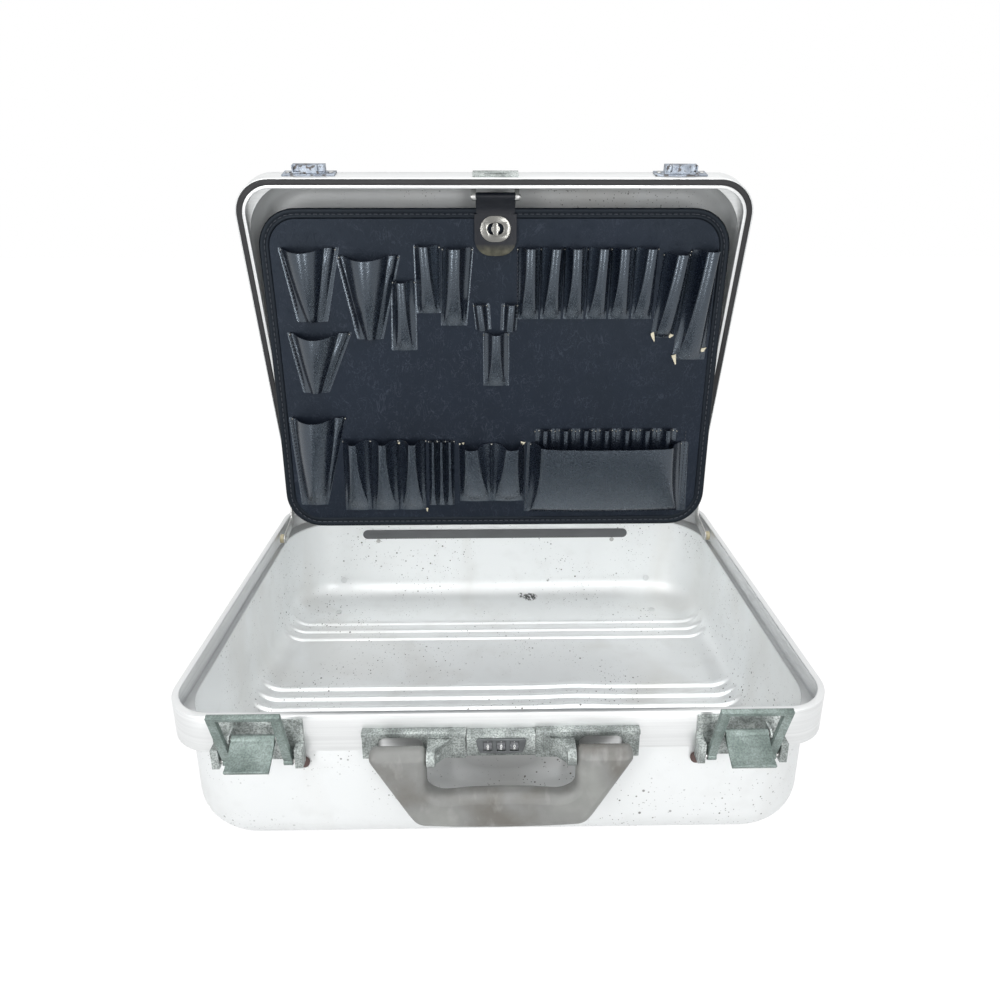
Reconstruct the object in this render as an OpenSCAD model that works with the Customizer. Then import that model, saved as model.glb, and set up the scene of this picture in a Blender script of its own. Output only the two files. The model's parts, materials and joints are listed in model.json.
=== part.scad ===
// Hard tool case: an aluminium clamshell with rim frames, draw latches, a combination lock,
// a fold-down handle, lid stays, and a tool pallet that hangs from a strap in the lid.
// Frame: X to the right, Y to the back, Z up. The origin is the middle of the base on the floor.
// The lid is drawn closed and then turned open about the hinge pin.

/* [Case] */
// Width across the rims
case_w = 457; // [400:1:560]
// Depth from front to back across the rims
case_d = 356; // [300:1:440]
// Height of the base rim above the floor
base_h = 118; // [110:1:150]
// Height of the lid above the base rim
lid_h = 48; // [46:1:60]
// Angle from closed at which the lid stands open
lid_open = 73; // [62:1:80]
// Corner radius of both rims, seen from above
rim_r = 34; // [28:1:42]
// Corner radius of both shells, seen from above
shell_r = 55; // [46:1:62]
// Radius between the shell walls and the floor or top
shell_fillet = 26; // [18:1:30]
// Thickness of the shell sheet
wall = 1.6; // [1.2:0.1:2.2]
// Height of the feet
foot_h = 5; // [3:0.5:8]

/* [Rim frames] */
// Thickness of the frame's outer web
web = 2.2; // [1.8:0.1:3]
// Height of the base web, from the rim down
base_skirt = 28; // [24:1:34]
// Height of the lid web, from the rim up
lid_skirt = 20; // [18:1:22]
// Width of the bead along the base rim
bead_w = 5; // [4:0.5:7]
// Distance from the rim to the ledge that carries the base shell
ledge_drop = 18; // [16:1:22]
// Thickness of the ledges
ledge_t = 2; // [1.5:0.5:3]
// Width of the gasket in the lid rim
gasket_w = 4.6; // [3:0.1:6]
// Height of the gasket and of the channel that holds it
gasket_h = 4; // [3:0.5:5]
// Width of the lid rim's inner lip
lip_w = 3; // [2:0.5:4]

/* [Hinge] */
// Length of the rear hinge
hinge_l = 300; // [180:10:300]
// Number of knuckles
knuckles = 9; // [5:2:11]
// Outer radius of the knuckles
knuckle_r = 3.5; // [3:0.1:3.6]
// Radius of the hinge pin
hinge_pin_r = 1.5; // [1:0.1:2]

/* [Front hardware] */
// Distance of each latch from the middle
latch_x = 161.5; // [140:0.5:168]
// Width of each latch bail
bail_w = 46; // [40:1:50]
// Distance from the bail pin to the outside of its top bar
bail_l = 52.6; // [52.4:0.1:53]
// Angle by which the open bail leans out
bail_lean = 20; // [10:1:40]
// Angle by which the open lever stands out
lever_open = 62; // [30:1:80]
// Length of the latch lever
lever_l = 22; // [16:1:24]
// Overall width of the handle
handle_w = 172; // [160:2:190]
// Depth of the handle below its pivots
handle_drop = 53.5; // [48:0.5:60]
// Thickness of the handle
handle_t = 14; // [10:1:14]
// Pitch of the lock's number wheels
dial_pitch = 8.8; // [8:0.1:10]
// Radius of the number wheels
dial_r = 4; // [3.6:0.1:4.2]

/* [Tool pallet] */
// Width of the pallet board
board_w = 430; // [370:1:431]
// Height of the pallet board
board_h = 317; // [260:1:330]
// Thickness of the pallet board
board_t = 3.5; // [2:0.5:5]
// Corner radius of the pallet board
board_r = 35; // [20:1:50]
// Angle by which the hanging board leans back
board_lean = 3; // [0:0.5:5]
// Width of the edge binding
binding_w = 9; // [6:1:12]
// Width of the hanging strap
strap_w = 38; // [36:1:44]
// Thickness of the pocket material
skin = 1.2; // [1:0.1:1.6]

/* [Lid stays] */
// Thickness of the stay straps
stay_t = 1.5; // [1:0.1:1.6]
// Diameter of the nylon rollers
roller_d = 9; // [8:0.5:10]

/* [Hidden] */

$fn = 48;
eps = 0.01;

// Clearances
seat_gap = 0.3;
rim_gap = 0.4;
run_gap = 0.06;
side_gap = 0.3;

// Heights and places that follow from the driving sizes
front_y = -case_d / 2;
back_y = case_d / 2;
lid_z = base_h + rim_gap;
shell_inset = web + seat_gap;
shell_w = case_w - 2 * shell_inset;
shell_d = case_d - 2 * shell_inset;
ledge_z = base_h - ledge_drop;
base_shell_h = ledge_z - ledge_t - foot_h;
lid_ledge_z = lid_z + gasket_h + ledge_t + 7.6;
lid_shell_z = lid_ledge_z + ledge_t;
lid_shell_h = base_h + lid_h - lid_shell_z;
lid_fillet = min(shell_fillet, lid_shell_h - 3);
ledge_w = shell_inset + wall + 2;
outer_lip = web - 1;
channel_w = gasket_w + 0.2;
rim_w = outer_lip + channel_w + lip_w;

hinge_y = back_y + knuckle_r + 0.5;
hinge_z = base_h;
leaf_t = 1.2;
knuckle_l = hinge_l / knuckles;

// A point of the closed lid, as [y, z], carried round to the open lid
function opened(y, z) = [
    hinge_y + (y - hinge_y) * cos(lid_open) + (z - hinge_z) * sin(lid_open),
    hinge_z - (y - hinge_y) * sin(lid_open) + (z - hinge_z) * cos(lid_open)
];

// Hanging strap and pallet
strap_pin_r = 2;
strap_pin_y = front_y + 18.5;
strap_pin_z = base_h + 10;
strap_pin_at = opened(strap_pin_y, strap_pin_z);
pin_to_board = 7.3;
pin_above_board = 10.2;
strap_t = 1.6;
strap_off = 1.7;
strap_end = 40;
grommet_z = -17.7;
ear_in = 17;
ear_out = 21;

// Latches
bail_pin_r = 1.5;
bail_pin_off = 5;
bail_pin_z = base_h - 31;
bail_bar = 3.4;
bail_side = 5.8;
lever_pin_r = 1.2;
lever_pin_off = 9;
lever_pin_z = base_h - 10;
lever_w = 28.6;
latch_plate_t = 1.5;
keeper_block_w = 28.4;
keeper_off = 8;

// Handle and lock
handle_pin_r = 2.5;
handle_pin_y = front_y - 15;
handle_pin_z = base_h - 21;
handle_eye = 49;
boss_w = 5.7;
lock_w = 45.6;
lock_t = 6.6;
lock_low = base_h - 27.5;
lock_high = base_h - 11;
dial_w = 5.5;
dial_y = front_y - dial_r - 0.4;
dial_z = base_h - 19.5;
bracket_low = base_h - 31.5;
axle_r = 1.2;

// Lid stays: a strap on the lid whose roller travels inside the base rim
stay_x = board_w / 2 + 2;
stay_lid_y = back_y - 86;
stay_lid_z = lid_z + 9;
stay_pin_r = 2;
roller_pin_r = 1.5;
roller_at = [back_y - 71, base_h - 7];
stay_bend = [back_y - 41, base_h];
stay_hw = 5;
stay_at = opened(stay_lid_y, stay_lid_z);

// Colours
aluminium = [0.78, 0.80, 0.80];
bright = [0.84, 0.85, 0.85];
cast = [0.66, 0.72, 0.68];
vinyl = [0.10, 0.10, 0.13];
black = [0.08, 0.08, 0.09];
warm_grey = [0.55, 0.54, 0.51];
nylon = [0.80, 0.74, 0.55];
steel = [0.60, 0.61, 0.62];

// ---------- Shared shapes ----------

module rounded(w, d, r) {
    square([w - 2 * r, d], center = true);
    square([w, d - 2 * r], center = true);
    for (x = [-1, 1], y = [-1, 1])
        translate([x * (w / 2 - r), y * (d / 2 - r)])
            circle(r);
}

// A flat ring from the rim's outline inwards
module rim_ring(inset, width) {
    difference() {
        rounded(case_w - 2 * inset, case_d - 2 * inset, rim_r - inset);
        rounded(case_w - 2 * (inset + width), case_d - 2 * (inset + width), rim_r - inset - width);
    }
}

// A ledge from the rim's outline to just inside the rounder shell
module ledge_ring() {
    difference() {
        rounded(case_w, case_d, rim_r);
        rounded(case_w - 2 * ledge_w, case_d - 2 * ledge_w, shell_r - wall - 2);
    }
}

module slab(z, h) {
    translate([0, 0, z])
        linear_extrude(h)
            children();
}

// A slice from the middle of the pan out to its wall, rounded where the wall meets the floor
module pan_slice(h, r, fillet) {
    intersection() {
        square([r, h]);
        union() {
            square([r - fillet, h]);
            translate([0, fillet])
                square([r, h]);
            translate([r - fillet, fillet])
                circle(fillet);
        }
    }
}

module pan_side(length, h, r, fillet) {
    translate([-length / 2, 0, 0])
        rotate([90, 0, 90])
            linear_extrude(length)
                pan_slice(h, r, fillet);
}

// A pan with rounded corners and a rounded floor
module pan(w, d, h, r, fillet) {
    across = w - 2 * r;
    deep = d - 2 * r;
    translate([-across / 2, -deep / 2, 0])
        cube([across, deep, h]);
    for (turn = [0, 180])
        rotate([0, 0, turn]) {
            translate([0, deep / 2, 0])
                pan_side(across, h, r, fillet);
            rotate([0, 0, 90])
                translate([0, across / 2, 0])
                    pan_side(deep, h, r, fillet);
            translate([across / 2, deep / 2, 0])
                rotate_extrude(angle = 90)
                    pan_slice(h, r, fillet);
            translate([across / 2, -deep / 2, 0])
                rotate([0, 0, -90])
                    rotate_extrude(angle = 90)
                        pan_slice(h, r, fillet);
        }
}

module shell(h, fillet) {
    difference() {
        pan(shell_w, shell_d, h, shell_r, fillet);
        translate([0, 0, wall])
            pan(shell_w - 2 * wall, shell_d - 2 * wall, h, shell_r - wall, fillet - wall);
    }
}

module open_lid() {
    translate([0, hinge_y, hinge_z])
        rotate([-lid_open, 0, 0])
            translate([0, -hinge_y, -hinge_z])
                children();
}

// The pallet's own frame: X across, Z up from the board's top edge, Y from its front face back
module hang_pallet() {
    translate([0, strap_pin_at[0], strap_pin_at[1]])
        rotate([board_lean, 0, 0])
            translate([0, pin_to_board, -pin_above_board])
                children();
}

// A cylinder along X from x0 to x1
module rod(x0, x1, r) {
    translate([x0, 0, 0])
        rotate([0, 90, 0])
            cylinder(r = r, h = x1 - x0);
}

// An outline drawn in Y and Z, extruded along X from x0 to x1
module across(x0, x1) {
    translate([x0, 0, 0])
        rotate([90, 0, 90])
            linear_extrude(x1 - x0)
                children();
}

// An outline drawn in X and Z, standing out of the front by h from the distance off
module on_front(off, h) {
    translate([0, front_y - off, 0])
        rotate([90, 0, 0])
            linear_extrude(h)
                children();
}

module bar2d(a, b, half) {
    dir = atan2(b[1] - a[1], b[0] - a[0]);
    long = norm(b - a);
    translate(a)
        rotate(dir) {
            translate([0, -half])
                square([long, 2 * half]);
            circle(half);
            translate([long, 0])
                circle(half);
        }
}

module both_sides() {
    children();
    mirror([1, 0, 0])
        children();
}

// ---------- Base ----------

module base_shell() {
    color(aluminium) {
        translate([0, 0, foot_h])
            shell(base_shell_h, shell_fillet);
        floor_beads();
    }
}

// Low beads pressed up across the floor, in two sets
rib_r = 7;
rib_rise = 1.5;
rib_pitch = 14;
rib_l = shell_w - 2 * shell_r - 20;
rib_sets = [case_d / 2 - 66, 1];

module floor_beads() {
    floor_z = foot_h + wall;
    for (first = rib_sets, k = [0 : 2])
        intersection() {
            translate([0, first - k * rib_pitch, floor_z + rib_rise - rib_r])
                rod(-rib_l / 2, rib_l / 2, rib_r);
            translate([-rib_l / 2, -shell_d / 2, floor_z - wall / 2])
                cube([rib_l, shell_d, rib_rise + wall]);
        }
}

module base_frame() {
    color(bright) {
        slab(base_h - base_skirt, base_skirt)
            rim_ring(0, web);
        slab(base_h - bead_w + 1, bead_w - 1)
            rim_ring(0, bead_w);
        slab(ledge_z - ledge_t, ledge_t)
            ledge_ring();
    }
}

// Rear feet wrap the lower back edge, and the front feet are pads under the floor
foot_x = case_w / 2 - 55.5;
foot_w = 16;
foot_y = shell_d / 2 - shell_fillet;
foot_z = foot_h + shell_fillet;
foot_reach = 30;
foot_rise = 14;

module foot_outline() {
    intersection() {
        translate([foot_y, foot_z])
            difference() {
                circle(shell_fillet + foot_h);
                circle(shell_fillet + 0.2);
            }
        translate([foot_y, 0])
            square([shell_fillet + foot_h, foot_z]);
    }
    translate([foot_y - foot_reach, 0])
        square([foot_reach, foot_h]);
    translate([shell_d / 2, foot_z])
        square([foot_h, foot_rise]);
}

module feet() {
    color(black)
        both_sides() {
            across(foot_x - foot_w / 2, foot_x + foot_w / 2)
                foot_outline();
            translate([foot_x, -foot_y + 24, 0])
                cylinder(r = 11, h = foot_h);
        }
}

foot_rivet_r = 3.4;
foot_rivet_t = 1;
foot_rivet_turn = 79;

module foot_rivets() {
    color(steel)
        both_sides()
            translate([foot_x + 2, 0, 0]) {
                translate([0, foot_y - 14, foot_h + wall])
                    cylinder(r = foot_rivet_r, h = foot_rivet_t);
                translate([0, foot_y, foot_z])
                    rotate([foot_rivet_turn, 0, 0])
                        translate([0, 0, -shell_fillet + wall + 0.9])
                            cylinder(r = foot_rivet_r, h = foot_rivet_t);
                translate([0, -foot_y + 24, foot_h + wall])
                    cylinder(r = foot_rivet_r, h = foot_rivet_t);
            }
}

// ---------- Hinge ----------

module knuckle_row(first) {
    for (k = [first : 2 : knuckles - 1])
        translate([-hinge_l / 2 + k * knuckle_l, 0, 0])
            children();
}

module knuckle() {
    translate([0, hinge_y, hinge_z])
        rod(side_gap / 2, knuckle_l - side_gap / 2, knuckle_r);
}

module hinge_bore() {
    translate([0, hinge_y, hinge_z])
        rod(-hinge_l / 2 - 1, hinge_l / 2 + 1, hinge_pin_r + run_gap);
}

tongue_t = 2;
leaf_step_z = base_h - base_skirt - seat_gap;
leaf_low = 21;

module hinge_base_leaf() {
    color(aluminium)
        difference() {
            union() {
                across(-hinge_l / 2, hinge_l / 2)
                    polygon([
                        [back_y, hinge_z - knuckle_r - 0.5],
                        [back_y + leaf_t, hinge_z - knuckle_r - 0.5],
                        [back_y + leaf_t, leaf_step_z - 0.5],
                        [back_y + leaf_t - shell_inset, leaf_step_z - 0.5 - shell_inset],
                        [back_y + leaf_t - shell_inset, leaf_step_z - leaf_low],
                        [back_y - shell_inset, leaf_step_z - leaf_low],
                        [back_y - shell_inset, leaf_step_z - shell_inset],
                        [back_y, leaf_step_z]
                    ]);
                knuckle_row(0) {
                    knuckle();
                    across(side_gap / 2, knuckle_l - side_gap / 2)
                        translate([back_y, hinge_z - knuckle_r - 1])
                            square([hinge_y - back_y, tongue_t + 1]);
                }
            }
            hinge_bore();
        }
}

module hinge_lid_leaf() {
    color(aluminium)
        open_lid()
            difference() {
                union() {
                    across(-hinge_l / 2, hinge_l / 2)
                        translate([back_y, hinge_z + knuckle_r + 0.5])
                            square([leaf_t, lid_skirt - knuckle_r - 0.5]);
                    knuckle_row(1) {
                        knuckle();
                        across(side_gap / 2, knuckle_l - side_gap / 2)
                            translate([back_y, hinge_z + knuckle_r - tongue_t])
                                square([hinge_y - back_y, tongue_t + 1]);
                    }
                }
                hinge_bore();
            }
}

module hinge_pin() {
    color(steel)
        translate([0, hinge_y, hinge_z])
            rod(-hinge_l / 2, hinge_l / 2, hinge_pin_r);
}

strip_z = base_h - 34.5;
strip_h = 10.6;
strip_t = 1.2;
strip_end = hinge_l / 2 - strip_h / 2;

module hinge_backing_strip() {
    color(black)
        translate([0, shell_d / 2 - wall, 0])
            rotate([90, 0, 0])
                linear_extrude(strip_t)
                    bar2d([-strip_end, strip_z], [strip_end, strip_z], strip_h / 2);
}

hinge_rivet_r = 2.4;
hinge_rivet_t = 1;

// A rivet head along Y, standing out of a face towards the back
module rivet_head(x, y, z) {
    translate([x, y, z])
        rotate([-90, 0, 0])
            cylinder(r = hinge_rivet_r, h = hinge_rivet_t);
}

end_rivet_x = hinge_l / 2 - 17;
end_rivet_z = base_h - 42.6;

module base_hinge_rivets() {
    color(steel)
        both_sides() {
            rivet_head(end_rivet_x, back_y - shell_inset + leaf_t, end_rivet_z);
            rivet_head(end_rivet_x, shell_d / 2 - wall - hinge_rivet_t, end_rivet_z);
            for (x = [knuckle_l, 3 * knuckle_l])
                rivet_head(x, back_y - shell_inset + leaf_t, strip_z - 4);
        }
}

module lid_hinge_rivets() {
    color(steel)
        open_lid()
            both_sides()
                for (x = [0.5 : 1 : 3.5]) {
                    rivet_head(x * knuckle_l, back_y + leaf_t, lid_z + 10.5);
                    rivet_head(x * knuckle_l, back_y - web - hinge_rivet_t, lid_z + 10);
                }
}

// ---------- Latches ----------

latch_half = 30;
cheek_in = 25;
ear_side = 15.3;
ear_t = 1.5;

module at_latch(side) {
    translate([side * latch_x, 0, 0])
        children();
}

module latch_base(side) {
    color(cast)
        at_latch(side)
            difference() {
                union() {
                    on_front(0, latch_plate_t)
                        translate([-latch_half, bail_pin_z - 2])
                            square([2 * latch_half, 31]);
                    both_sides() {
                        across(cheek_in, latch_half)
                            translate([front_y - bail_pin_off - 3.5, bail_pin_z - 3.5])
                                square([bail_pin_off + 3.5, 15]);
                        across(ear_side, ear_side + ear_t) {
                            translate([front_y - lever_pin_off, lever_pin_z - 3])
                                square([lever_pin_off, 6]);
                            translate([front_y - lever_pin_off, lever_pin_z])
                                circle(3);
                        }
                    }
                }
                translate([0, front_y - bail_pin_off, bail_pin_z])
                    rod(-latch_half - 1, latch_half + 1, bail_pin_r);
                translate([0, front_y - lever_pin_off, lever_pin_z])
                    rod(-ear_side - ear_t - 1, ear_side + ear_t + 1, lever_pin_r);
            }
}

module latch_base_left() {
    latch_base(-1);
}

module latch_base_right() {
    latch_base(1);
}

// Two stub pins for each bail and one pin for each lever
module latch_pins() {
    color(steel)
        for (side = [-1, 1])
            at_latch(side) {
                both_sides()
                    translate([0, front_y - bail_pin_off, bail_pin_z])
                        rod(bail_w / 2 - bail_side + 0.2, latch_half, bail_pin_r);
                translate([0, front_y - lever_pin_off, lever_pin_z])
                    rod(-ear_side - ear_t, ear_side + ear_t, lever_pin_r);
            }
}

plug_x = latch_x - 28;
plug_z = base_h - 38;

module latch_plugs() {
    color("rosybrown")
        both_sides()
            on_front(-shell_inset, 2.2)
                translate([plug_x, plug_z])
                    circle(4);
}

module latch_bail(side) {
    color(cast)
        at_latch(side)
            translate([0, front_y - bail_pin_off, bail_pin_z])
                rotate([bail_lean, 0, 0])
                    difference() {
                        union() {
                            both_sides()
                                across(bail_w / 2 - bail_side, bail_w / 2) {
                                    circle(2.9);
                                    translate([-bail_bar / 2, 0])
                                        square([bail_bar, bail_l]);
                                }
                            across(-bail_w / 2, bail_w / 2)
                                translate([-bail_bar / 2, bail_l - bail_bar])
                                    square([bail_bar, bail_bar]);
                        }
                        rod(-bail_w / 2 - 1, bail_w / 2 + 1, bail_pin_r + run_gap);
                    }
}

module latch_bail_left() {
    latch_bail(-1);
}

module latch_bail_right() {
    latch_bail(1);
}

lever_t = 3.2;
lever_dish_r = 26;

module latch_lever(side) {
    color(cast)
        at_latch(side)
            translate([0, front_y - lever_pin_off, lever_pin_z])
                rotate([-lever_open, 0, 0])
                    across(-lever_w / 2, lever_w / 2)
                        difference() {
                            union() {
                                circle(2.7);
                                translate([-lever_t / 2, -lever_l])
                                    square([lever_t, lever_l]);
                            }
                            circle(lever_pin_r + run_gap);
                            translate([-lever_t / 2 - lever_dish_r + 1.6, -lever_l / 2 - 1.5])
                                circle(lever_dish_r, $fn = 96);
                        }
}

module latch_lever_left() {
    latch_lever(-1);
}

module latch_lever_right() {
    latch_lever(1);
}

// ---------- Handle ----------

bracket_in = lock_w / 2 + 0.4;
bracket_out = 92.5;
bracket_t = 4;
arch_in = 52;
arch_out = 82;
arch_r = 6;

module bracket_outline() {
    difference() {
        translate([bracket_in, bracket_low])
            square([bracket_out - bracket_in, base_h - 10 - bracket_low]);
        translate([arch_in, bracket_low - 1])
            square([arch_out - arch_in, 17.5 - arch_r]);
        translate([arch_in + arch_r, bracket_low - 1])
            square([arch_out - arch_in - 2 * arch_r, 17.5]);
        for (x = [arch_in + arch_r, arch_out - arch_r])
            translate([x, bracket_low + 16.5 - arch_r])
                circle(arch_r);
    }
}

module handle_bracket() {
    color(cast)
        difference() {
            union() {
                on_front(0, bracket_t)
                    bracket_outline();
                on_front(bracket_t - eps, 1.6)
                    translate([bracket_in, base_h - 13])
                        square([bracket_out - bracket_in, 3]);
                slab(handle_pin_z - 6, 12)
                    polygon([
                        [32, front_y - bracket_t + eps],
                        [handle_eye - side_gap, front_y - bracket_t + eps],
                        [handle_eye - side_gap, handle_pin_y],
                        [handle_eye - side_gap - boss_w, handle_pin_y]
                    ]);
                translate([0, handle_pin_y, handle_pin_z])
                    rod(handle_eye - side_gap - boss_w, handle_eye - side_gap, 6);
            }
            translate([0, handle_pin_y, handle_pin_z])
                rod(handle_eye - 20, handle_eye + 1, handle_pin_r);
        }
}

module handle_bracket_left() {
    mirror([1, 0, 0])
        handle_bracket();
}

module handle_bracket_right() {
    handle_bracket();
}

handle_pin_l = 20;

module handle_pins() {
    color(steel)
        both_sides()
            translate([0, handle_pin_y, handle_pin_z])
                rod(handle_eye - side_gap - boss_w, handle_eye + handle_pin_l - 6, handle_pin_r);
}

grip_h = 24.5;
handle_foot = 56;
handle_knee = 60;

module handle_outline() {
    low = handle_pin_z - handle_drop;
    top = handle_pin_z + handle_t / 2;
    difference() {
        polygon([
            [-handle_w / 2, top], [-handle_w / 2, handle_pin_z], [-handle_knee, low + 6],
            [-handle_foot, low], [handle_foot, low],
            [handle_knee, low + 6], [handle_w / 2, handle_pin_z], [handle_w / 2, top]
        ]);
        translate([-handle_eye, low + grip_h + 6])
            square([2 * handle_eye, handle_drop + handle_t]);
        translate([-handle_eye + 6, low + grip_h])
            square([2 * handle_eye - 12, 7]);
        for (x = [-1, 1])
            translate([x * (handle_eye - 6), low + grip_h + 6])
                circle(6);
    }
}

module handle() {
    color(warm_grey)
        difference() {
            intersection() {
                translate([0, handle_pin_y + handle_t / 2, 0])
                    rotate([90, 0, 0])
                        linear_extrude(handle_t)
                            handle_outline();
                across(-handle_w, handle_w)
                    bar2d([handle_pin_y, handle_pin_z - handle_drop + handle_t / 2],
                          [handle_pin_y, handle_pin_z], handle_t / 2);
            }
            both_sides()
                translate([0, handle_pin_y, handle_pin_z])
                    rod(handle_eye - 1, handle_eye + handle_pin_l - 5, handle_pin_r + run_gap);
        }
}

// ---------- Lock ----------

bolt_l = 21;
bolt_travel = 3;
bolt_z = lock_high - 3.4;
bolt_h = 2.4;
bolt_t = 3.4;
bolt_in = 1.9;

module lock_body() {
    color(cast)
        difference() {
            on_front(0, lock_t)
                translate([-lock_w / 2, lock_low])
                    square([lock_w, lock_high - lock_low]);
            for (i = [-1 : 1])
                translate([i * dial_pitch, dial_y, dial_z])
                    rod(-dial_w / 2 - 0.2, dial_w / 2 + 0.2, dial_r + seat_gap);
            translate([0, dial_y, dial_z])
                rod(-lock_w / 2 - 1, lock_w / 2 + 1, axle_r);
            on_front(bolt_in - 0.3, bolt_t + 0.6)
                translate([-bolt_l / 2 - bolt_travel / 2 - 0.5, bolt_z - 0.3])
                    square([bolt_l + bolt_travel + 1, bolt_h + 0.6]);
        }
}

module lock_bolt() {
    color(steel)
        on_front(bolt_in, bolt_t)
            translate([-bolt_l / 2 - bolt_travel / 2, bolt_z])
                square([bolt_l, bolt_h]);
}

bezel_w = 33;
bezel_low = dial_z - 5.8;
bezel_high = dial_z + 5.8;

module lock_bezel() {
    color(black)
        on_front(lock_t, 1.2)
            difference() {
                translate([-bezel_w / 2, bezel_low])
                    square([bezel_w, bezel_high - bezel_low]);
                for (i = [-1 : 1])
                    translate([i * dial_pitch - dial_w / 2 - 0.3, dial_z - dial_r])
                        square([dial_w + 0.6, 2 * dial_r]);
            }
}

module dial_axle() {
    color(steel)
        translate([0, dial_y, dial_z])
            rod(-lock_w / 2, lock_w / 2, axle_r);
}

dial_notches = 10;

module dial(i) {
    color(black)
        translate([i * dial_pitch, dial_y, dial_z])
            across(-dial_w / 2, dial_w / 2)
                difference() {
                    circle(dial_r);
                    circle(axle_r + run_gap);
                    for (k = [0 : dial_notches - 1])
                        rotate((k + 0.5) * 360 / dial_notches)
                            translate([dial_r, 0])
                                circle(0.45, $fn = 16);
                }
}

module dial_1() {
    dial(-1);
}

module dial_2() {
    dial(0);
}

module dial_3() {
    dial(1);
}

// ---------- Lid ----------

module lid_shell() {
    color(aluminium)
        open_lid()
            translate([0, 0, base_h + lid_h])
                mirror([0, 0, 1])
                    shell(lid_shell_h, lid_fillet);
}

module lid_frame() {
    color(bright)
        open_lid() {
            slab(lid_z, gasket_h)
                rim_ring(0, outer_lip);
            slab(lid_z, gasket_h)
                rim_ring(outer_lip + channel_w, lip_w);
            slab(lid_z + gasket_h, ledge_t)
                rim_ring(0, rim_w);
            slab(lid_z + gasket_h, lid_skirt - gasket_h)
                rim_ring(0, web);
            slab(lid_ledge_z, ledge_t)
                ledge_ring();
        }
}

module lid_gasket() {
    color(black)
        open_lid()
            slab(lid_z + 0.2, gasket_h - 0.2)
                rim_ring(outer_lip + 0.1, gasket_w);
}

keeper_low = lid_z + 6;
keeper_block_z = base_h + 10;
keeper_block_h = 7.8;
keeper_t = 1.3;
keeper_rivet_x = 18.5;

module keeper(side) {
    color(cast)
        open_lid()
            at_latch(side)
                difference() {
                    union() {
                        on_front(0, keeper_t)
                            translate([-bail_w / 2 + 0.2, keeper_low])
                                square([bail_w - 0.4, lid_skirt - 6.4]);
                        on_front(keeper_t - eps, keeper_off - keeper_t)
                            translate([-keeper_block_w / 2, keeper_block_z])
                                square([keeper_block_w, keeper_block_h]);
                    }
                    for (x = [-1, 1])
                        on_front(keeper_t + 1, keeper_off)
                            translate([x * 10.5 - 2.5, keeper_block_z - 1])
                                square([5, 4]);
                }
}

module keeper_left() {
    keeper(-1);
}

module keeper_right() {
    keeper(1);
}

module keeper_rivets() {
    color(steel)
        open_lid()
            for (side = [-1, 1], x = [-1, 1])
                at_latch(side)
                    on_front(keeper_t, 0.8)
                        translate([x * keeper_rivet_x, keeper_low + 7])
                            circle(2.2);
}

strike_w = 40;

module lid_strike() {
    color(cast)
        open_lid()
            on_front(0, 1.5)
                difference() {
                    translate([-strike_w / 2, lid_z + 4])
                        square([strike_w, lid_skirt - 4.4]);
                    translate([-strike_w / 4, lid_z + 8])
                        square([strike_w / 2, 4]);
                }
}

module at_strap_pin() {
    translate([0, strap_pin_y, strap_pin_z])
        children();
}

ear_r = 3.4;
ear_root = [front_y + shell_inset + wall + 4.4, lid_shell_z + 3.8];

module flap_bracket() {
    color(steel)
        open_lid()
            difference() {
                union() {
                    both_sides()
                        across(ear_in, ear_out)
                            bar2d(ear_root, [strap_pin_y, strap_pin_z], ear_r);
                    across(-ear_out, ear_out)
                        translate([front_y + shell_inset + wall, lid_shell_z + 0.3])
                            square([1.4, 5.6]);
                    both_sides()
                        across(ear_in, ear_out)
                            translate([front_y + shell_inset + wall, lid_shell_z + 0.3])
                                square([5, 5.6]);
                }
                at_strap_pin()
                    rod(-ear_out - 1, ear_out + 1, strap_pin_r);
            }
}

module flap_pin() {
    color(steel)
        open_lid()
            at_strap_pin()
                rod(-ear_out - 1, ear_out + 1, strap_pin_r);
}

// ---------- Lid stays ----------

rim_lip_x = case_w / 2 - rim_w;
web_x = case_w / 2 - web;
stay_head_t = 0.6;
roller_x = stay_x + stay_t + seat_gap;
roller_w = 3.8;

module stay_mounts() {
    color(aluminium)
        open_lid()
            both_sides()
                difference() {
                    translate([rim_lip_x, stay_lid_y - 6, lid_z + gasket_h + ledge_t])
                        cube([web_x - rim_lip_x, 12, lid_ledge_z - lid_z - gasket_h - ledge_t]);
                    translate([0, stay_lid_y, stay_lid_z])
                        rod(rim_lip_x - 1, web_x + eps, stay_pin_r);
                }
}

module stay_pivots() {
    color(steel)
        open_lid()
            both_sides()
                translate([0, stay_lid_y, stay_lid_z]) {
                    rod(stay_x - seat_gap - stay_head_t, stay_x - seat_gap, stay_pin_r + 1);
                    rod(stay_x - seat_gap, web_x, stay_pin_r);
                }
}

module stay_arm() {
    color(steel)
        difference() {
            across(stay_x, stay_x + stay_t) {
                bar2d(stay_at, stay_bend, stay_hw);
                bar2d(stay_bend, roller_at, stay_hw);
            }
            translate([0, stay_at[0], stay_at[1]])
                rod(stay_x - 1, stay_x + stay_t + 1, stay_pin_r + run_gap);
            translate([0, roller_at[0], roller_at[1]])
                rod(stay_x - 1, stay_x + stay_t + 1, roller_pin_r);
        }
}

module stay_arm_left() {
    mirror([1, 0, 0])
        stay_arm();
}

module stay_arm_right() {
    stay_arm();
}

module roller_pin() {
    color(steel)
        translate([0, roller_at[0], roller_at[1]]) {
            rod(stay_x - stay_head_t, stay_x, 3);
            rod(stay_x, roller_x + roller_w + 0.3, roller_pin_r);
        }
}

module roller_pin_left() {
    mirror([1, 0, 0])
        roller_pin();
}

module roller_pin_right() {
    roller_pin();
}

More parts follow.
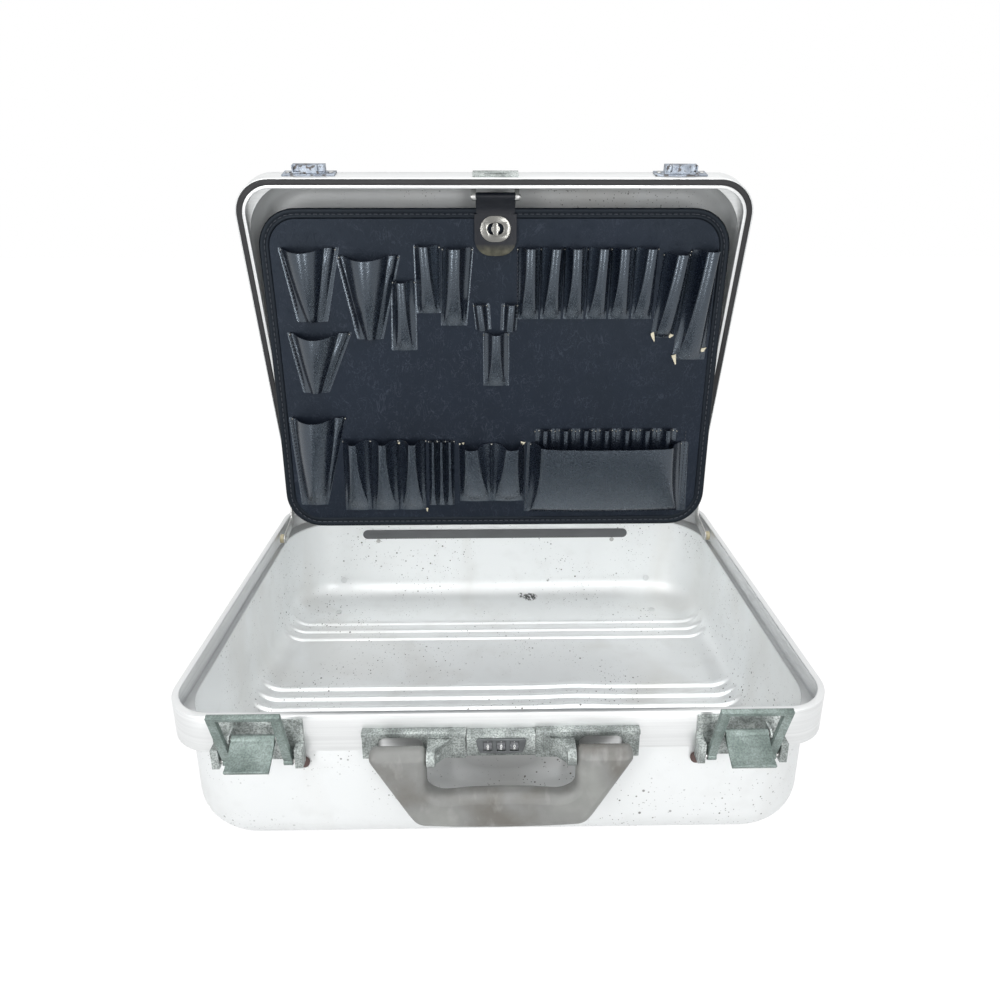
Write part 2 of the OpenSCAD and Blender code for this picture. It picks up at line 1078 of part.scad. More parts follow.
module stay_roller() {
    color(nylon)
        translate([0, roller_at[0], roller_at[1]])
            difference() {
                rod(roller_x, roller_x + roller_w, roller_d / 2);
                rod(roller_x - 1, roller_x + roller_w + 1, roller_pin_r + run_gap);
            }
}

module stay_roller_left() {
    mirror([1, 0, 0])
        stay_roller();
}

module stay_roller_right() {
    stay_roller();
}

// ---------- Pallet ----------

binding_t = 0.8;
binding_edge = 0.5;

// An outline drawn in X and Z on the pallet, from y0 in front of its face to y1 behind it
module on_board(y0, y1) {
    translate([0, y1, 0])
        rotate([90, 0, 0])
            linear_extrude(y0 + y1)
                children();
}

module board_outline(grow) {
    translate([0, -board_h / 2])
        rounded(board_w + 2 * grow, board_h + 2 * grow, board_r + grow);
}

module pallet_board() {
    color(vinyl)
        hang_pallet()
            on_board(0, board_t)
                board_outline(0);
}

module pallet_binding() {
    color(black)
        hang_pallet() {
            on_board(binding_t, board_t + binding_t)
                difference() {
                    board_outline(binding_edge);
                    board_outline(0);
                }
            for (y = [[binding_t, 0], [-board_t, board_t + binding_t]])
                on_board(y[0], y[1])
                    difference() {
                        board_outline(binding_edge);
                        board_outline(binding_edge - binding_w);
                    }
        }
}

module stadium(w, h) {
    if (w > h) {
        square([w - h, h], center = true);
        for (x = [-1, 1])
            translate([x * (w - h) / 2, 0])
                circle(h / 2);
    } else {
        square([w, h - w], center = true);
        for (y = [-1, 1])
            translate([0, y * (h - w) / 2])
                circle(w / 2);
    }
}

grommet_w = 27.6;
grommet_h = 23;
opening_w = 14.7;
opening_h = 10;
sleeve_t = 1;
strap_eye_r = 3.8;
strap_mid = strap_off + strap_t / 2;

module hanging_strap() {
    color(vinyl)
        hang_pallet()
            difference() {
                union() {
                    across(-ear_in + seat_gap, ear_in - seat_gap) {
                        translate([-pin_to_board, pin_above_board])
                            circle(strap_eye_r);
                        bar2d([-pin_to_board, pin_above_board], [-strap_mid, -3], strap_t / 2);
                    }
                    on_board(strap_off + strap_t, -strap_off)
                        difference() {
                            translate([0, -strap_end / 2 - 1])
                                rounded(strap_w, strap_end - 2, 6);
                            translate([0, grommet_z])
                                stadium(opening_w + 2 * sleeve_t + 0.2, opening_h + 2 * sleeve_t + 0.2);
                        }
                }
                translate([0, -pin_to_board, pin_above_board])
                    rod(-ear_in, ear_in, strap_pin_r + run_gap);
            }
}

module grommet() {
    color(steel)
        hang_pallet()
            translate([0, 0, grommet_z])
                difference() {
                    union() {
                        on_board(strap_off, -strap_off + 0.7)
                            stadium(grommet_w, grommet_h);
                        on_board(strap_off + strap_t + 0.8, -strap_off - strap_t)
                            stadium(grommet_w, grommet_h);
                        on_board(strap_off + strap_t, -strap_off)
                            stadium(opening_w + 2 * sleeve_t, opening_h + 2 * sleeve_t);
                    }
                    on_board(10, 1)
                        stadium(opening_w, opening_h);
                }
}

stud_l = strap_off + strap_t + 0.9;
button_pin_r = 1.5;
button_l = 12;
button_w = 4.9;
button_t = 2.2;

module turn_stud() {
    color(steel)
        hang_pallet()
            translate([0, 0, grommet_z])
                difference() {
                    on_board(stud_l, 0)
                        circle(4);
                    on_board(stud_l + 1, -0.8)
                        circle(button_pin_r + run_gap);
                }
}

module turn_button() {
    color(bright)
        hang_pallet()
            translate([0, 0, grommet_z]) {
                on_board(stud_l + 0.4, -1.2)
                    circle(button_pin_r);
                on_board(stud_l + 0.4 + button_t, -stud_l - 0.4)
                    stadium(button_w, button_l);
            }
}

// ---------- Pockets ----------

// One ring of an arched pocket: across from x0 to x1, standing out by depth, at height z.
// back is how far the ring's two foot points lie behind the board's face.
function arch(x0, x1, depth, z, back) =
    let (mid = (x0 + x1) / 2, half = (x1 - x0) / 2)
    [
        [mid - half, back, z],
        [mid - 0.86 * half, -0.6 * depth, z],
        [mid - 0.45 * half, -depth, z],
        [mid + 0.45 * half, -depth, z],
        [mid + 0.86 * half, -0.6 * depth, z],
        [mid + half, back, z]
    ];

module lofted(low, high) {
    n = len(low);
    polyhedron(
        points = concat(low, high),
        faces = concat(
            [[for (i = [0 : n - 1]) i]],
            [[for (i = [n - 1 : -1 : 0]) n + i]],
            [for (i = [0 : n - 1]) [i, n + i, n + (i + 1) % n]],
            [for (i = [0 : n - 1]) [i, n + (i + 1) % n, (i + 1) % n]]
        )
    );
}

// A pocket that is open at its top. top and low are [x0, x1, depth].
module pocket(top, low, z_top, z_low) {
    slope = (z_top + 1 - z_low - 3) / (z_top - z_low - 3);
    difference() {
        lofted(
            arch(low[0], low[1], low[2], z_low, 0),
            arch(top[0], top[1], top[2], z_top, 0)
        );
        lofted(
            arch(low[0] + skin, low[1] - skin, low[2] - skin, z_low + 3, 1),
            arch(
                low[0] + skin + (top[0] - low[0]) * slope,
                low[1] - skin + (top[1] - low[1]) * slope,
                low[2] - skin + (top[2] - low[2]) * slope,
                z_top + 1,
                1
            )
        );
    }
}

// A loop that is open at both ends
module pocket_loop(x0, x1, depth, z_top, z_low) {
    difference() {
        lofted(arch(x0, x1, depth, z_low, 0), arch(x0, x1, depth, z_top, 0));
        lofted(
            arch(x0 + skin, x1 - skin, depth - skin, z_low - 1, 1),
            arch(x0 + skin, x1 - skin, depth - skin, z_top + 1, 1)
        );
    }
}

// Places on the board run from its middle, so the outer pockets move with the board's width
edge_x = board_w / 2;
low_z = -board_h;

module cone_pockets() {
    color(vinyl)
        hang_pallet() {
            pocket([20 - edge_x, 69 - edge_x, 20], [31 - edge_x, 52 - edge_x, 6], -34, -103);
            pocket([71 - edge_x, 126 - edge_x, 22], [86 - edge_x, 105 - edge_x, 6], -41, -120);
            pocket([19 - edge_x, 77 - edge_x, 18], [30 - edge_x, 49 - edge_x, 6], -113, -173);
            pocket([13 - edge_x, 66 - edge_x, 20], [19 - edge_x, 41 - edge_x, 6], low_z + 119, low_z + 24);
        }
}

module small_pockets() {
    color(vinyl)
        hang_pallet() {
            pocket([-95, -75, 12], [-98, -77, 6], -64, -131);
            pocket([-73, -51, 14], [-73, -52, 6], -32, -95);
            pocket([-48, -21, 16], [-51, -28, 6], -34, -107);
            pocket_loop(-21, -0.5, 10, -86, -112);
            pocket_loop(0.5, 21, 10, -86, -112);
            pocket([-11, 12, 12], [-11, 12, 6], -114, -167);
        }
}

tube_first = edge_x - 194;
tube_pitch = 21.6;
tube_w = 20.4;

module tool_tubes() {
    color(vinyl)
        hang_pallet() {
            for (k = [0 : 5])
                let (x = tube_first + k * tube_pitch)
                pocket([x, x + tube_w, 15], [x + 1.5, x + tube_w - 3, 6], -34, -101);
            pocket([edge_x - 59, edge_x - 36, 18], [edge_x - 65, edge_x - 46, 6], -39, -119);
            pocket([edge_x - 34, edge_x - 10, 20], [edge_x - 42, edge_x - 13, 6], -36, -141);
        }
}

module lower_pockets() {
    color(vinyl)
        hang_pallet() {
            for (k = [0 : 2])
                pocket(
                    [k * 28 - 153, k * 28 - 126, 16],
                    [k * 28 - 155, k * 28 - 128, 7],
                    low_z + 95, low_z + 18
                );
            for (k = [0 : 2])
                pocket(
                    [k * 8.4 - 67, k * 8.4 - 59.2, 8],
                    [k * 8.8 - 68.6, k * 8.8 - 60.4, 4],
                    low_z + 94, low_z + 23
                );
            for (k = [0 : 1])
                pocket(
                    [k * 33 - 36, k * 33 - 4, 17],
                    [k * 33 - 36, k * 33 - 4, 6],
                    low_z + 91, low_z + 27
                );
        }
}

box_in = 32;
box_out = edge_x - 24;
loops = 7;
loop_pitch = (box_out - box_in - 16) / loops;

module box_pocket() {
    color(vinyl)
        hang_pallet() {
            pocket([box_in + 2, box_out - 2, 24], [box_in, box_out, 10], low_z + 91, low_z + 15);
            for (k = [0 : loops - 1])
                pocket_loop(
                    box_in + 8 + k * loop_pitch, box_in + 8 + (k + 1) * loop_pitch - 1,
                    8, low_z + 105, low_z + 75
                );
        }
}

base_shell();
base_frame();
feet();
foot_rivets();
hinge_base_leaf();
hinge_pin();
hinge_backing_strip();
base_hinge_rivets();
latch_base_left();
latch_base_right();
latch_pins();
latch_plugs();
latch_bail_left();
latch_bail_right();
latch_lever_left();
latch_lever_right();
handle_bracket_left();
handle_bracket_right();
handle_pins();
handle();
lock_body();
lock_bezel();
dial_axle();
dial_1();
dial_2();
dial_3();
lock_bolt();
lid_shell();
lid_frame();
lid_gasket();
hinge_lid_leaf();
lid_hinge_rivets();
keeper_left();
keeper_right();
keeper_rivets();
lid_strike();
flap_bracket();
flap_pin();
stay_mounts();
stay_pivots();
stay_arm_left();
stay_arm_right();
roller_pin_left();
roller_pin_right();
stay_roller_left();
stay_roller_right();
pallet_board();
pallet_binding();
hanging_strap();
grommet();
turn_stud();
turn_button();
cone_pockets();
small_pockets();
tool_tubes();
lower_pockets();
box_pocket();
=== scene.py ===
# %% [markdown]
# # A hard tool case, dressed for its render
# The frame already holds every hard part at its real size. This script gives each part its
# finish, softens its edges, and models the sheet-metal pans and the sewn vinyl.

# %% Load the frame
import json
import random
from math import copysign, cos, exp, hypot, pi, radians, sin, sqrt

import bmesh
import bpy
from mathutils import Matrix, Vector

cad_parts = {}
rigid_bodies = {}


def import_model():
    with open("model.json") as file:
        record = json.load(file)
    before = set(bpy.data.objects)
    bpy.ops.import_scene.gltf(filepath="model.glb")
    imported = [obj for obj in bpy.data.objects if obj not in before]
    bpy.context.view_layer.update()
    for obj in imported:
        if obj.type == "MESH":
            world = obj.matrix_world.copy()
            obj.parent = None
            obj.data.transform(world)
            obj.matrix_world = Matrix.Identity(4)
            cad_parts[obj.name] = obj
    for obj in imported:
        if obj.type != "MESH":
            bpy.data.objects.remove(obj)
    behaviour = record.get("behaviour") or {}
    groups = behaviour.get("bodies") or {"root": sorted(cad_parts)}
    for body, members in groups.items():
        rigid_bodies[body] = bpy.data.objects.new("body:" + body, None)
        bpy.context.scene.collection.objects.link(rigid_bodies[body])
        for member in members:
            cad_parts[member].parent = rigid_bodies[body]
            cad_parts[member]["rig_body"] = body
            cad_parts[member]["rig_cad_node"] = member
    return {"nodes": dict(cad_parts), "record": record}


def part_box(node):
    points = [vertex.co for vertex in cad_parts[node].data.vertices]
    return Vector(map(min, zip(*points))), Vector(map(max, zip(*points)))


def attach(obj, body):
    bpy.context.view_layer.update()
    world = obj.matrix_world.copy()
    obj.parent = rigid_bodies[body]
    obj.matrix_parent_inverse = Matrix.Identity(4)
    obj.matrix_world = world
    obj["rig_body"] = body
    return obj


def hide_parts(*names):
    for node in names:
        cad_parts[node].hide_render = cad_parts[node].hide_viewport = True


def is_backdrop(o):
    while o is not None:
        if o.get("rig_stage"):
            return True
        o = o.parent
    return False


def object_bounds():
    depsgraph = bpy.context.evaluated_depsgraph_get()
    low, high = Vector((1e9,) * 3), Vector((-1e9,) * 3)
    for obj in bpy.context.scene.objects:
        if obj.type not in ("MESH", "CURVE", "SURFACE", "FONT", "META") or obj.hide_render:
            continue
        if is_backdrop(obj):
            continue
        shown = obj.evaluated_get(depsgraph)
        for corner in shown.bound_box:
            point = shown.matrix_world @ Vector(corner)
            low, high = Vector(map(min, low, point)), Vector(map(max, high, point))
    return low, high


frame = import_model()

cad_low, cad_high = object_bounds()
MM = 0.001
print("CAD box", [round(v, 3) for v in (*cad_low, *cad_high)])

# %% [markdown]
# The case's own sizes are read back from the boxes of its nodes, so that the modelled pieces
# follow the frame. The lid is worked out closed and then turned open about the hinge pin.

# %% Sizes from the frame
def node_box(name):
    low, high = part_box(name)
    return Vector(low), Vector(high)


rim_low, rim_high = node_box("base_frame")
shell_low, shell_high = node_box("base_shell")
pin_low, pin_high = node_box("hinge_pin")
hinge = Vector((0, (pin_low.y + pin_high.y) / 2, (pin_low.z + pin_high.z) / 2))
base_h = rim_high.z
lid_h = 48 * MM
lid_pan_h = 32 * MM
lid_angle = radians(73)
wall = 1.6 * MM
shell_w = shell_high.x - shell_low.x
shell_d = shell_high.y - shell_low.y
shell_top = shell_high.z
shell_r = 55 * MM
fillet = 26 * MM
open_lid = (
    Matrix.Translation(hinge)
    @ Matrix.Rotation(-lid_angle, 4, "X")
    @ Matrix.Translation(-hinge)
)

# The pallet's own frame: its origin is the middle of the board's top edge, on the front face
board_w = 430 * MM
board_h = 317 * MM
board_t = 3.5 * MM
board_r = 35 * MM
board_lean = radians(3)
board_from_pin = Vector((0, 7.3, -10.2)) * MM
pin_from_rim = Vector((0, 18.5, 10)) * MM
strap_pin = open_lid @ (Vector((0, rim_low.y, base_h)) + pin_from_rim)
hang_pallet = (
    Matrix.Translation(strap_pin)
    @ Matrix.Rotation(board_lean, 4, "X")
    @ Matrix.Translation(board_from_pin)
)
print("hinge", [round(v, 4) for v in hinge], "strap pin", [round(v, 4) for v in strap_pin])

# %% [markdown]
# ## Camera and light
# The case stands on a plain white sweep. A broad lamp overhead and a weak key light the metal.
# Two upright strip lamps stand low and near, one on each side of the camera: they could be left
# out, but they are what draws two soft parallel lines down every rounded pocket. The camera
# stands in front of the case, a little below the top of its open lid, with a fairly wide lens.

# %% Camera
scene = bpy.context.scene
lens_px = 728.0
frame_px = 1000.0
horizon_px = 433.0
camera_at = Vector((-7.5, -583.4, 440.0)) * MM
camera_pitch = radians(17.35)
camera_yaw = radians(0.97)

bpy.ops.object.camera_add(location=camera_at)
camera = bpy.context.object
camera.name = "camera"
camera.rotation_euler = (pi / 2 - camera_pitch, 0, -camera_yaw)
camera.data.sensor_width = 36
camera.data.lens = lens_px / frame_px * camera.data.sensor_width
camera.data.shift_y = (horizon_px - frame_px / 2) / frame_px
camera.data.clip_start = 0.01
scene.camera = camera
scene.view_settings.view_transform = "Standard"
print("lens", round(camera.data.lens, 2), "mm")

# %% Lamps
def lamp(name, place, target, size, power):
    bpy.ops.object.light_add(type="AREA", location=place)
    light = bpy.context.object
    light.name = name
    light.data.shape = "RECTANGLE"
    light.data.size = size[0]
    light.data.size_y = size[1]
    light.data.energy = power
    aim = Vector(target) - Vector(place)
    light.rotation_euler = aim.to_track_quat("-Z", "Y").to_euler()


lamp("key_lamp", (-0.8, -1.3, 1.3), (0, 0, 0.2), (1.0, 0.7), 3)
lamp("top_lamp", (0.1, -0.2, 1.7), (0, 0, 0.1), (1.4, 1.0), 12.5)
lamp("left_lamp", (-0.5, -0.8, 0.37), (0, 0.15, 0.37), (0.09, 0.68), 3.4)
lamp("right_lamp", (0.3, -0.85, 0.37), (0, 0.15, 0.37), (0.08, 0.68), 2.8)

# %% Node helpers
def add_node(tree, kind, inputs=(), **settings):
    """Adds a node. An input gets a value, or a link where it is given another node's output."""
    node = tree.nodes.new("ShaderNode" + kind)
    for name, value in settings.items():
        setattr(node, name, value)
    for key, value in dict(inputs).items():
        socket = node.inputs[key]
        if isinstance(value, bpy.types.NodeSocket):
            tree.links.new(value, socket)
        else:
            short = socket.type == "RGBA" and len(value) == 3
            socket.default_value = (*value, 1) if short else value
    return node


def seen_by_eye(tree):
    """1 for rays that the eye sends out, also by a mirror or through glass, and 0 for the rest."""
    path = add_node(tree, "LightPath")
    seen = path.outputs["Is Camera Ray"]
    for kind in ("Is Glossy Ray", "Is Transmission Ray"):
        either = {0: seen, 1: path.outputs[kind]}
        seen = add_node(tree, "Math", either, operation="MAXIMUM").outputs[0]
    return seen


def fresh_tree(owner):
    owner.use_nodes = True
    owner.node_tree.nodes.clear()
    return owner.node_tree


print("node helpers: add_node, seen_by_eye, fresh_tree")

# %% White room
world = bpy.data.worlds.new("white_room")
scene.world = world
tree = fresh_tree(world)
soft = add_node(tree, "Background", {"Color": (0.94, 0.97, 1.0), "Strength": 0.6})
white = add_node(tree, "Background", {"Color": (1, 1, 1), "Strength": 1.0})
both = add_node(tree, "MixShader", {0: seen_by_eye(tree), 1: soft.outputs[0], 2: white.outputs[0]})
add_node(tree, "OutputWorld", {0: both.outputs[0]})
print("room:", world.name, "with", len(tree.nodes), "nodes")

# %% Floor
bpy.ops.object.select_all(action="DESELECT")
bpy.ops.mesh.primitive_plane_add(size=12, location=(0, 0, -0.0005))
floor = bpy.context.object
floor.name = "floor"
floor_paint = bpy.data.materials.new("floor_paint")
glow_share = 0.86
tree = fresh_tree(floor_paint)
matt = add_node(tree, "BsdfDiffuse", {"Color": (0.58, 0.58, 0.58)})
glow = add_node(tree, "Emission", {"Color": (1, 1, 1), "Strength": 1.12})
share = add_node(tree, "Math", {0: seen_by_eye(tree), 1: glow_share}, operation="MULTIPLY")
both = add_node(tree, "MixShader", {0: share.outputs[0], 1: matt.outputs[0], 2: glow.outputs[0]})
add_node(tree, "OutputMaterial", {0: both.outputs[0]})
floor.data.materials.append(floor_paint)
floor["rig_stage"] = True
print("floor:", floor_paint.name, "with", len(tree.nodes), "nodes")

# %% [markdown]
# ## Finishes
# Every finish is built from nodes on Object coordinates, so that it stays put on the piece and
# can be baked. Pictures would be quicker, but they show their pixels up close. A small kit keeps
# the node work short: one class starts a material and adds noise, colour ramps and bumps to it.

# %% Material kit
class Finish:
    """A Principled material with helpers for the nodes that drive it."""

    def __init__(self, name, colour, roughness, metallic=0.0, specular=0.5):
        self.material = bpy.data.materials.new(name)
        self.material.use_nodes = True
        self.tree = self.material.node_tree
        self.shader = self.tree.nodes["Principled BSDF"]
        self.shader.inputs["Base Color"].default_value = (*colour, 1)
        self.shader.inputs["Roughness"].default_value = roughness
        self.shader.inputs["Metallic"].default_value = metallic
        self.shader.inputs["Specular IOR Level"].default_value = specular
        self.coords = self.tree.nodes.new("ShaderNodeTexCoord").outputs["Object"]
        self.last_normal = None

    def stretched(self, scale):
        return add_node(self.tree, "Mapping", {"Vector": self.coords, "Scale": scale}).outputs[0]

    def noise(self, scale, detail=3.0, vector=None, distortion=0.0):
        return add_node(self.tree, "TexNoise", {
            "Vector": vector or self.coords, "Scale": scale, "Detail": detail, "Distortion": distortion,
        }).outputs["Fac"]

    def cells(self, scale):
        inputs = {"Vector": self.coords, "Scale": scale}
        return add_node(self.tree, "TexVoronoi", inputs).outputs["Distance"]

    def spot(self, centre, radii):
        """1 at the centre of an ellipsoid, falling to 0 at its surface."""
        place = add_node(self.tree, "Mapping", {
            "Vector": self.coords,
            "Location": [-c / r for c, r in zip(centre, radii)],
            "Scale": [1 / r for r in radii],
        })
        inputs = {"Vector": place.outputs[0]}
        return add_node(self.tree, "TexGradient", inputs, gradient_type="SPHERICAL").outputs["Fac"]

    def ramp(self, value, *stops):
        node = self.tree.nodes.new("ShaderNodeValToRGB")
        points = node.color_ramp.elements
        while len(points) < len(stops):
            points.new(0.5)
        for point, (place, colour) in zip(points, stops):
            point.position = place
            point.color = (*colour, 1) if len(colour) == 3 else colour
        self.tree.links.new(value, node.inputs[0])
        return node.outputs[0]

    def clouded(self, value, colour, dark, end=0.7):
        """A colour that darkens where the value is low."""
        return self.ramp(value, (0.3, tuple(c * dark for c in colour)), (end, colour))

    def mask(self, value, start, end, after=1.0, before=0.0):
        """A grey that goes from one share to another as the value goes from start to end."""
        return self.ramp(value, (start, grey(before)), (end, grey(after)))

    def product(self, a, b):
        return self.mix(1.0, a, b, "MULTIPLY")

    def mix(self, factor, a, b, mode="MIX"):
        inputs = {0: factor, 6: a, 7: b}
        return add_node(self.tree, "Mix", inputs, data_type="RGBA", blend_type=mode).outputs[2]

    def colour(self, value):
        self.tree.links.new(value, self.shader.inputs["Base Color"])

    def roughness(self, value, low, high):
        spread = add_node(self.tree, "MapRange", {"Value": value, "To Min": low, "To Max": high})
        self.tree.links.new(spread.outputs[0], self.shader.inputs["Roughness"])

    def bump(self, height, distance, strength=1.0):
        inputs = {"Distance": distance, "Strength": strength, "Height": height}
        if self.last_normal:
            inputs["Normal"] = self.last_normal
        self.last_normal = add_node(self.tree, "Bump", inputs).outputs[0]
        self.tree.links.new(self.last_normal, self.shader.inputs["Normal"])


def grey(v):
    return (v, v, v)


# %% [markdown]
# The pans are drawn aluminium, satin from handling, with cloudy stains, faint smudges and small
# dark pits. Three sizes of pit come from thresholded cell distances, so they stay round and
# sparse. On the base, the inside is painted lighter than the outside as painted light, a grey patch of
# painted shadow darkens the front wall behind the handle, and a tool has scuffed the rear fillet. The rim
# bars are brighter and drawn in streaks.

# %% Aluminium finishes
def faces_point(finish, point):
    """1 where a surface is turned towards a point, such as the inside of a pan, and 0 elsewhere."""
    tree = finish.tree
    away = add_node(tree, "VectorMath", {0: point, 1: finish.coords}, operation="SUBTRACT")
    normal = add_node(tree, "TexCoord").outputs["Normal"]
    sides = {0: away.outputs[0], 1: normal}
    facing = add_node(tree, "VectorMath", sides, operation="DOT_PRODUCT")
    towards = {0: facing.outputs["Value"], 1: 0.0}
    return add_node(tree, "Math", towards, operation="GREATER_THAN").outputs[0]


pit_sizes = ((75, 0.09), (150, 0.125), (330, 0.15))
pan_middle = (0, 0, 0.2)
# A painted shadow: the ellipsoid behind the handle where the front wall is darkened as if the handle and
# lock shade it.
handle_shadow_spot = ((0, -0.18, 0.081), (0.058, 0.03, 0.021))
scuff_marks = (
    ((0.0609, 0.168, 0.0245), (0.0024, 0.008, 0.0026)),
    ((0.0395, 0.1595, 0.010), (0.0095, 0.008, 0.0034)),
    ((0.0290, 0.1600, 0.011), (0.0035, 0.008, 0.0022)),
)


def aluminium_sheet(name, colour, painted_shade_and_scuffs=False):
    f = Finish(name, colour, 0.42, metallic=0.5)
    cloud = f.noise(9, 5)
    tone = f.clouded(cloud, colour, 0.95)
    worn = f.noise(14, 3)
    streaks = f.noise(11, 6, f.stretched((1, 1, 0.35)), 0.6)
    stain = f.mask(streaks, 0.50, 0.75, 0.35)
    tone = f.mix(stain, tone, (0.50, 0.475, 0.43))
    smudge = f.mask(f.noise(48, 8), 0.54, 0.72, 0.10)
    tone = f.mix(smudge, tone, (0.42, 0.41, 0.385))
    for scale, size in pit_sizes:
        pit = f.mask(f.cells(scale), size * 0.6, size, 0, 1)
        where = f.mask(worn, 0.44, 0.60)
        tone = f.mix(f.product(pit, where), tone, (0.09, 0.085, 0.075))
    # On the base only: real scuff marks, and the painted light and painted shadow below.
    if painted_shade_and_scuffs:
        # Painted light: the surfaces that face into the pan are made a fifth lighter than the outside.
        lighter_tone = f.product(tone, grey(1.2))
        tone = f.mix(faces_point(f, pan_middle), tone, lighter_tone)
        # Painted shadow: the front wall is darkened behind the handle, where the handle and lock shade
        # it.
        painted_shadow = f.mask(f.spot(*handle_shadow_spot), 0.0, 0.55, 0.72)
        tone = f.mix(painted_shadow, tone, (0.17, 0.172, 0.17))
        ragged = f.mask(f.noise(420, 4), 0.42, 0.52)
        for centre, radii in scuff_marks:
            scuff = f.mask(f.spot(centre, radii), 0.0, 0.3, 0.9)
            tone = f.mix(f.product(scuff, ragged), tone, (0.03, 0.03, 0.028))
    f.colour(tone)
    f.roughness(cloud, 0.38, 0.52)
    f.bump(f.noise(5, 2), 0.0008, 0.3)
    f.bump(f.noise(420, 2), 0.00005, 0.4)
    return f.material


def aluminium_bar(name, colour):
    f = Finish(name, colour, 0.35, metallic=0.8)
    streak = f.noise(30, 3, f.stretched((0.3, 0.3, 18)))
    f.colour(f.clouded(streak, colour, 0.9))
    f.roughness(f.noise(45, 4), 0.28, 0.46)
    f.bump(f.noise(300, 2), 0.00005, 0.5)
    return f.material


pan_metal = aluminium_sheet("pan_aluminium", (0.775, 0.79, 0.79))
# The base's finish carries painted light inside and a painted shadow behind the handle.
base_metal = aluminium_sheet("base_aluminium", (0.775, 0.79, 0.79), painted_shade_and_scuffs=True)
rim_metal = aluminium_bar("rim_aluminium", (0.77, 0.78, 0.78))
print("aluminium:", pan_metal.name, base_metal.name, rim_metal.name)

# %% [markdown]
# The handle brackets, lock and latches are zinc castings whose plating has gone dull, with dark
# specks where it has failed; the levers have turned greener than the rest. The keepers are steel
# with spots of rust, and the turn lock is bright nickel. Metal with no change in its colour looks
# like plastic, so each of these gets clouds of tone and the same clouds in its roughness.

# %% Metal kit
def cast_metal(name, low, middle, high, grain):
    f = Finish(name, middle, 0.5, metallic=0.6)
    cloud = f.noise(70, 5)
    tone = f.ramp(cloud, (0.32, low), (0.52, middle), (0.72, high))
    speck = f.mask(f.noise(900, 4), 0.42, 0.60, grain)
    tone = f.mix(speck, tone, tuple(c * 0.35 for c in low))
    f.colour(tone)
    f.roughness(cloud, 0.40, 0.58)
    f.bump(f.noise(520, 4), 0.00025, 0.7)
    return f.material


def rusted_plate():
    f = Finish("rusted_plate", (0.34, 0.38, 0.44), 0.4, metallic=0.8)
    cloud = f.noise(130, 5)
    tone = f.ramp(cloud, (0.3, (0.16, 0.18, 0.22)), (0.7, (0.46, 0.51, 0.57)))
    rust = f.mask(f.noise(260, 4), 0.52, 0.62, 0.85)
    f.colour(f.mix(rust, tone, (0.055, 0.04, 0.03)))
    f.roughness(cloud, 0.32, 0.6)
    f.bump(f.noise(420, 4), 0.0002, 0.6)
    return f.material


def plated_steel(name, colour, low, high, mottle=0.72):
    f = Finish(name, colour, 0.3, metallic=1.0)
    cloud = f.noise(160, 4)
    f.colour(f.clouded(cloud, colour, mottle, 0.65))
    f.roughness(cloud, low, high)
    f.bump(f.noise(600, 2), 0.00005, 0.4)
    return f.material


print("metal kit: cast_metal, rusted_plate, plated_steel")

# %% Zinc, steel and nickel
cast_zinc = cast_metal("worn_zinc", (0.20, 0.222, 0.213), (0.42, 0.455, 0.44), (0.66, 0.70, 0.685), 0.6)
green_zinc = cast_metal("green_zinc", (0.14, 0.18, 0.165), (0.225, 0.275, 0.257), (0.33, 0.39, 0.37), 0.4)
keeper_plate = rusted_plate()
steel = plated_steel("worn_steel", (0.55, 0.55, 0.54), 0.28, 0.5)
steel_dark = plated_steel("dark_steel", (0.16, 0.17, 0.175), 0.35, 0.55)
nickel = plated_steel("nickel_plate", (0.22, 0.218, 0.205), 0.2, 0.28, 0.9)
print("metals:", pan_metal.name, rim_metal.name, cast_zinc.name, steel.name, nickel.name)

# %% [markdown]
# The pallet is covered in embossed black vinyl with a blue cast. The pockets are glossy, and
# their grain shows in tone, gloss and bump together, so that it sparkles in a highlight. On the
# board the sheet has flexed: fine creases run where a noise passes its middle value, and a
# second noise keeps them in patches. The plastics are simpler, but the handle is scuffed.

# %% Vinyl
def vinyl(name, colour, cracks=False, glossy=False):
    f = Finish(name, colour, 0.3, specular=1.0 if glossy else 0.26)
    f.shader.inputs["Specular Tint"].default_value = (0.72, 0.86, 1.0, 1)
    cloud = f.noise(16, 4)
    tone = f.ramp(cloud, (0.3, colour), (0.75, tuple(c * 1.4 for c in colour)))
    if cracks:
        for scale, strength in ((70, 0.8), (140, 0.7)):
            wander = f.noise(scale, 5, f.stretched((1.25, 1, 0.8)), 1.6)
            crease = f.ramp(wander, (0.482, grey(0)), (0.5, grey(1)), (0.518, grey(0)))
            where = f.mask(f.noise(scale * 0.8, 2), 0.40, 0.62, strength)
            tone = f.mix(f.product(crease, where), tone, (0.034, 0.04, 0.056))
            f.bump(crease, 0.00015, 0.5)
    if glossy:
        grain = f.noise(860, 2)
        raised = f.mask(grain, 0.50, 0.64)
        tone = f.mix(raised, tone, (0.010, 0.0135, 0.020))
        f.roughness(grain, 0.12, 0.42)
        f.bump(grain, 0.00012, 0.8)
        for name, value in (("Coat Weight", 0.25), ("Coat Roughness", 0.2)):
            f.shader.inputs[name].default_value = value
    else:
        f.roughness(cloud, 0.40, 0.52)
    f.colour(tone)
    f.bump(f.cells(850), 0.00006, 0.6)
    f.bump(f.noise(110, 3), 0.0002, 0.35)
    return f.material


board_vinyl = vinyl("board_vinyl", (0.0045, 0.0066, 0.0125), cracks=True)
pocket_vinyl = vinyl("pocket_vinyl", (0.0025, 0.0038, 0.0082), glossy=True)
binding_vinyl = vinyl("binding_vinyl", (0.0014, 0.0021, 0.0042))
print("vinyl:", board_vinyl.name, pocket_vinyl.name, binding_vinyl.name)

